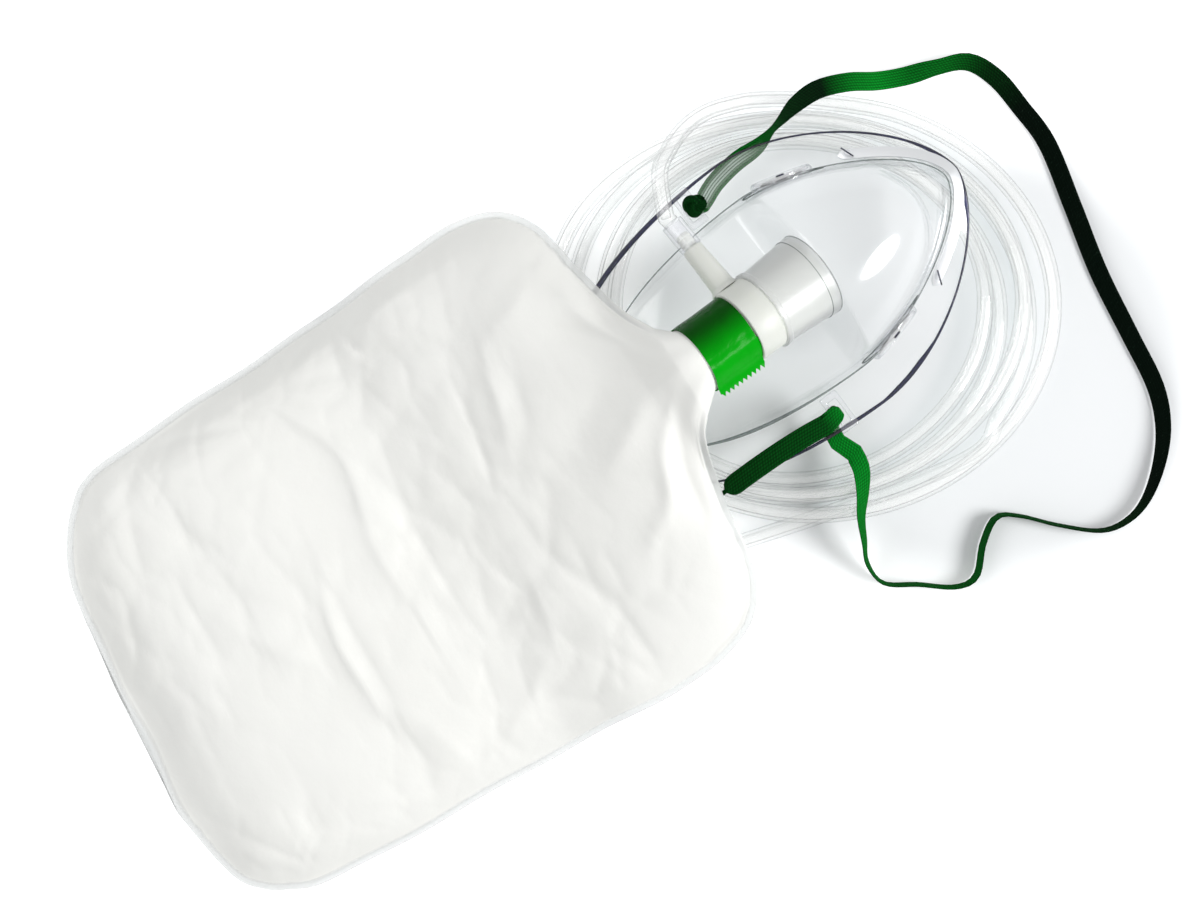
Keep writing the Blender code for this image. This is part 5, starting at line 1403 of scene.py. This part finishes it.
def strapRows():
    # place, roll in degrees, share of width, share of thickness, painted light and shade, and paleness,
    # along the strap
    x, upper = fromMask([lug["place"]])[0]
    lower = maskY - lug["place"][1]
    lugTop = lugHeights()[1]
    half = strap["thickness"] / 2

    def over(rows, y, z):
        return [(x + dx, y + dy, z + dz, 0, *shares) for dx, dy, dz, *shares in rows]

    loop = []
    for px, py, floorAt, roll in fromMask(strap["loop"]):
        slant = math.radians(roll)
        lift = (strap["width"] * abs(math.sin(slant)) + strap["thickness"] * math.cos(slant)) / 2
        loop.append((px, py, floorAt + strap["lift"] + lift, roll, 1, 1))
    first, last = [strap["loop"][i][2] + strap["lift"] + half for i in (0, -1)]
    tail = smoothPath([(*row, 0, *strap["tailShares"]) for row in fromMask(strap["tail"])],
                      strap["step"] / 5)
    left = pathLength(tail) - distancesAlong(tail)
    blunt, narrowing, least = strap["tip"]
    drawn = 1 - np.clip((left - blunt) / narrowing, 0, 1)
    tail[:, 4] *= least + (1 - least) * np.sqrt(1 - drawn**2)
    thin, gain, reach = strap["tailThickness"]
    tail[:, 5] = thin + gain * smoothStep(left, 0, reach)
    rows = np.array([
        *over(strap["inKnot"], upper, lugTop + layout["gap"]), *over(strap["underUpperLug"], upper, first),
        *smoothPath(loop, strap["step"]), *over(strap["underLowerLug"], lower, last),
        *over(strap["onLowerLug"], lower, lugTop), *tail])
    along = distancesAlong(rows)
    keys, paintedLights, pales = zip(*strap["paintedLights"])
    share = along / along[-1]
    return np.column_stack([rows, np.interp(share, keys, paintedLights), np.interp(share, keys, pales)])


def bandRing(place, turned, out, width, thick):
    # one ring of points of a ribbed band, lower side and upper side, and how far across each lies
    ribs = strap["ribs"]
    across = np.linspace(-1, 1, ribs * 6 + 1)
    crown = np.abs(np.sin(math.pi * ribs * (across + 1) / 2))**0.6  # rounded ribs
    points, sides = [], []
    for sign in (-1, 1):
        flip = slice(None, None, -1) if sign > 0 else slice(None)
        for a, c in zip(across[flip], crown[flip]):
            edge = math.sqrt(max(1 - abs(a)**5, 0.04))
            depth = thick * edge - strap["ribHeight"] * (1 - c)
            points.append(Vector(place) + turned * (width * a) + out * (sign * depth))
            sides.append(a * strap["width"] / 2)
    return points, sides


def makeStrap():
    rows = strapRows()
    places, along = rows[:, :3], distancesAlong(rows)
    side = Vector((0, 1, 0))
    points, yarn, paintedLight, pale = [], [], [], []
    for i, row in enumerate(rows):
        ahead = Vector(places[min(i + 1, len(rows) - 1)] - places[max(i - 1, 0)]).normalized()
        level = Vector((-ahead.y, ahead.x, 0))
        if level.length > 0.3:
            side = level.normalized() * math.copysign(1, level.dot(side))
        else:
            side = (side - ahead * side.dot(ahead)).normalized()
        turned = Matrix.Rotation(math.radians(row[3]), 3, ahead) @ side
        ring, sides = bandRing(places[i], turned, ahead.cross(turned), strap["width"] / 2 * row[4],
                               strap["thickness"] / 2 * row[5])
        points += ring
        yarn += [(along[i], s, 0) for s in sides]
        paintedLight += [row[6]] * len(ring)
        pale += [row[7] * float(smoothStep(1.7 - abs(s) / strap["width"] * 5)) for s in sides]
    faces = ringFaces(len(rows), len(points) // len(rows))
    piece = makePiece("strap_elastic", points, faces, strapElastic,
                      numbers={"yarn": yarn, "paintedLight": paintedLight, "pale": pale})
    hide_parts("head_strap")
    return piece, places


# Knot: the elastic tied over the upper lug, a flat band drawn tight along a three-lobed knot

knot = {
    "fromLug": (0.0016, -0.0006), "rise": 0.0012, "ring": 0.0016, "coil": 0.0009, "lobes": 3,
    # the knot is given a low, dark value of painted light and shade
    "rings": 120, "halfWidth": 0.0018, "halfThickness": 0.0013, "stitching": 0.0004, "paintedLight": 0.10,
}


def makeKnot():
    x, y = fromMask([lug["place"]])[0]
    x, y = x + knot["fromLug"][0], y + knot["fromLug"][1]
    base = strapRows()[0][2] + knot["rise"]
    turns = np.linspace(0, 2 * math.pi, knot["rings"] + 1)
    reach = knot["ring"] + knot["coil"] * np.cos(knot["lobes"] * turns)
    route = np.stack([x + reach * np.cos(2 * turns), y + reach * np.sin(2 * turns),
                      base - knot["coil"] * np.sin(knot["lobes"] * turns)], axis=1)
    aside, up = pathFrames(route)
    points, yarn = [], []
    for i in range(knot["rings"]):
        ring, sides = bandRing(route[i], Vector(aside[i]), Vector(up[i]), knot["halfWidth"],
                               knot["halfThickness"])
        points += ring
        yarn += [(i * knot["stitching"], s, 0) for s in sides]
    count = len(points) // knot["rings"]
    last = len(points) - count
    faces = ringFaces(knot["rings"], count, capped=False)
    faces += [(last + i, last + (i + 1) % count, (i + 1) % count, i) for i in range(count)]
    return makePiece("strap_knot", points, faces, strapElastic,
                     numbers={"yarn": yarn, "paintedLight": [knot["paintedLight"]] * len(points)})


hosePiece, hosePath = makeHose()
print("hose ready, length", round(pathLength(hosePath), 3))
makeMaskShell()
makeMaskEdges()
makeVents()
makeLugs()
makeClip()
print("mask ready")
makeCollar()
makeConnector()
funnelPiece = makeFunnel()
makeTape()
print("connector ready")
makeBag()
print("bag ready")
knotPiece = makeKnot()
strapPiece, strapPath = makeStrap()
print("strap ready, length", round(pathLength(strapPath), 3))

tuple(hosePath[0])
pathLength(hosePath)
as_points(hosePath)
tuple(strapPath[0])
pathLength(strapPath)
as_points(strapPath)
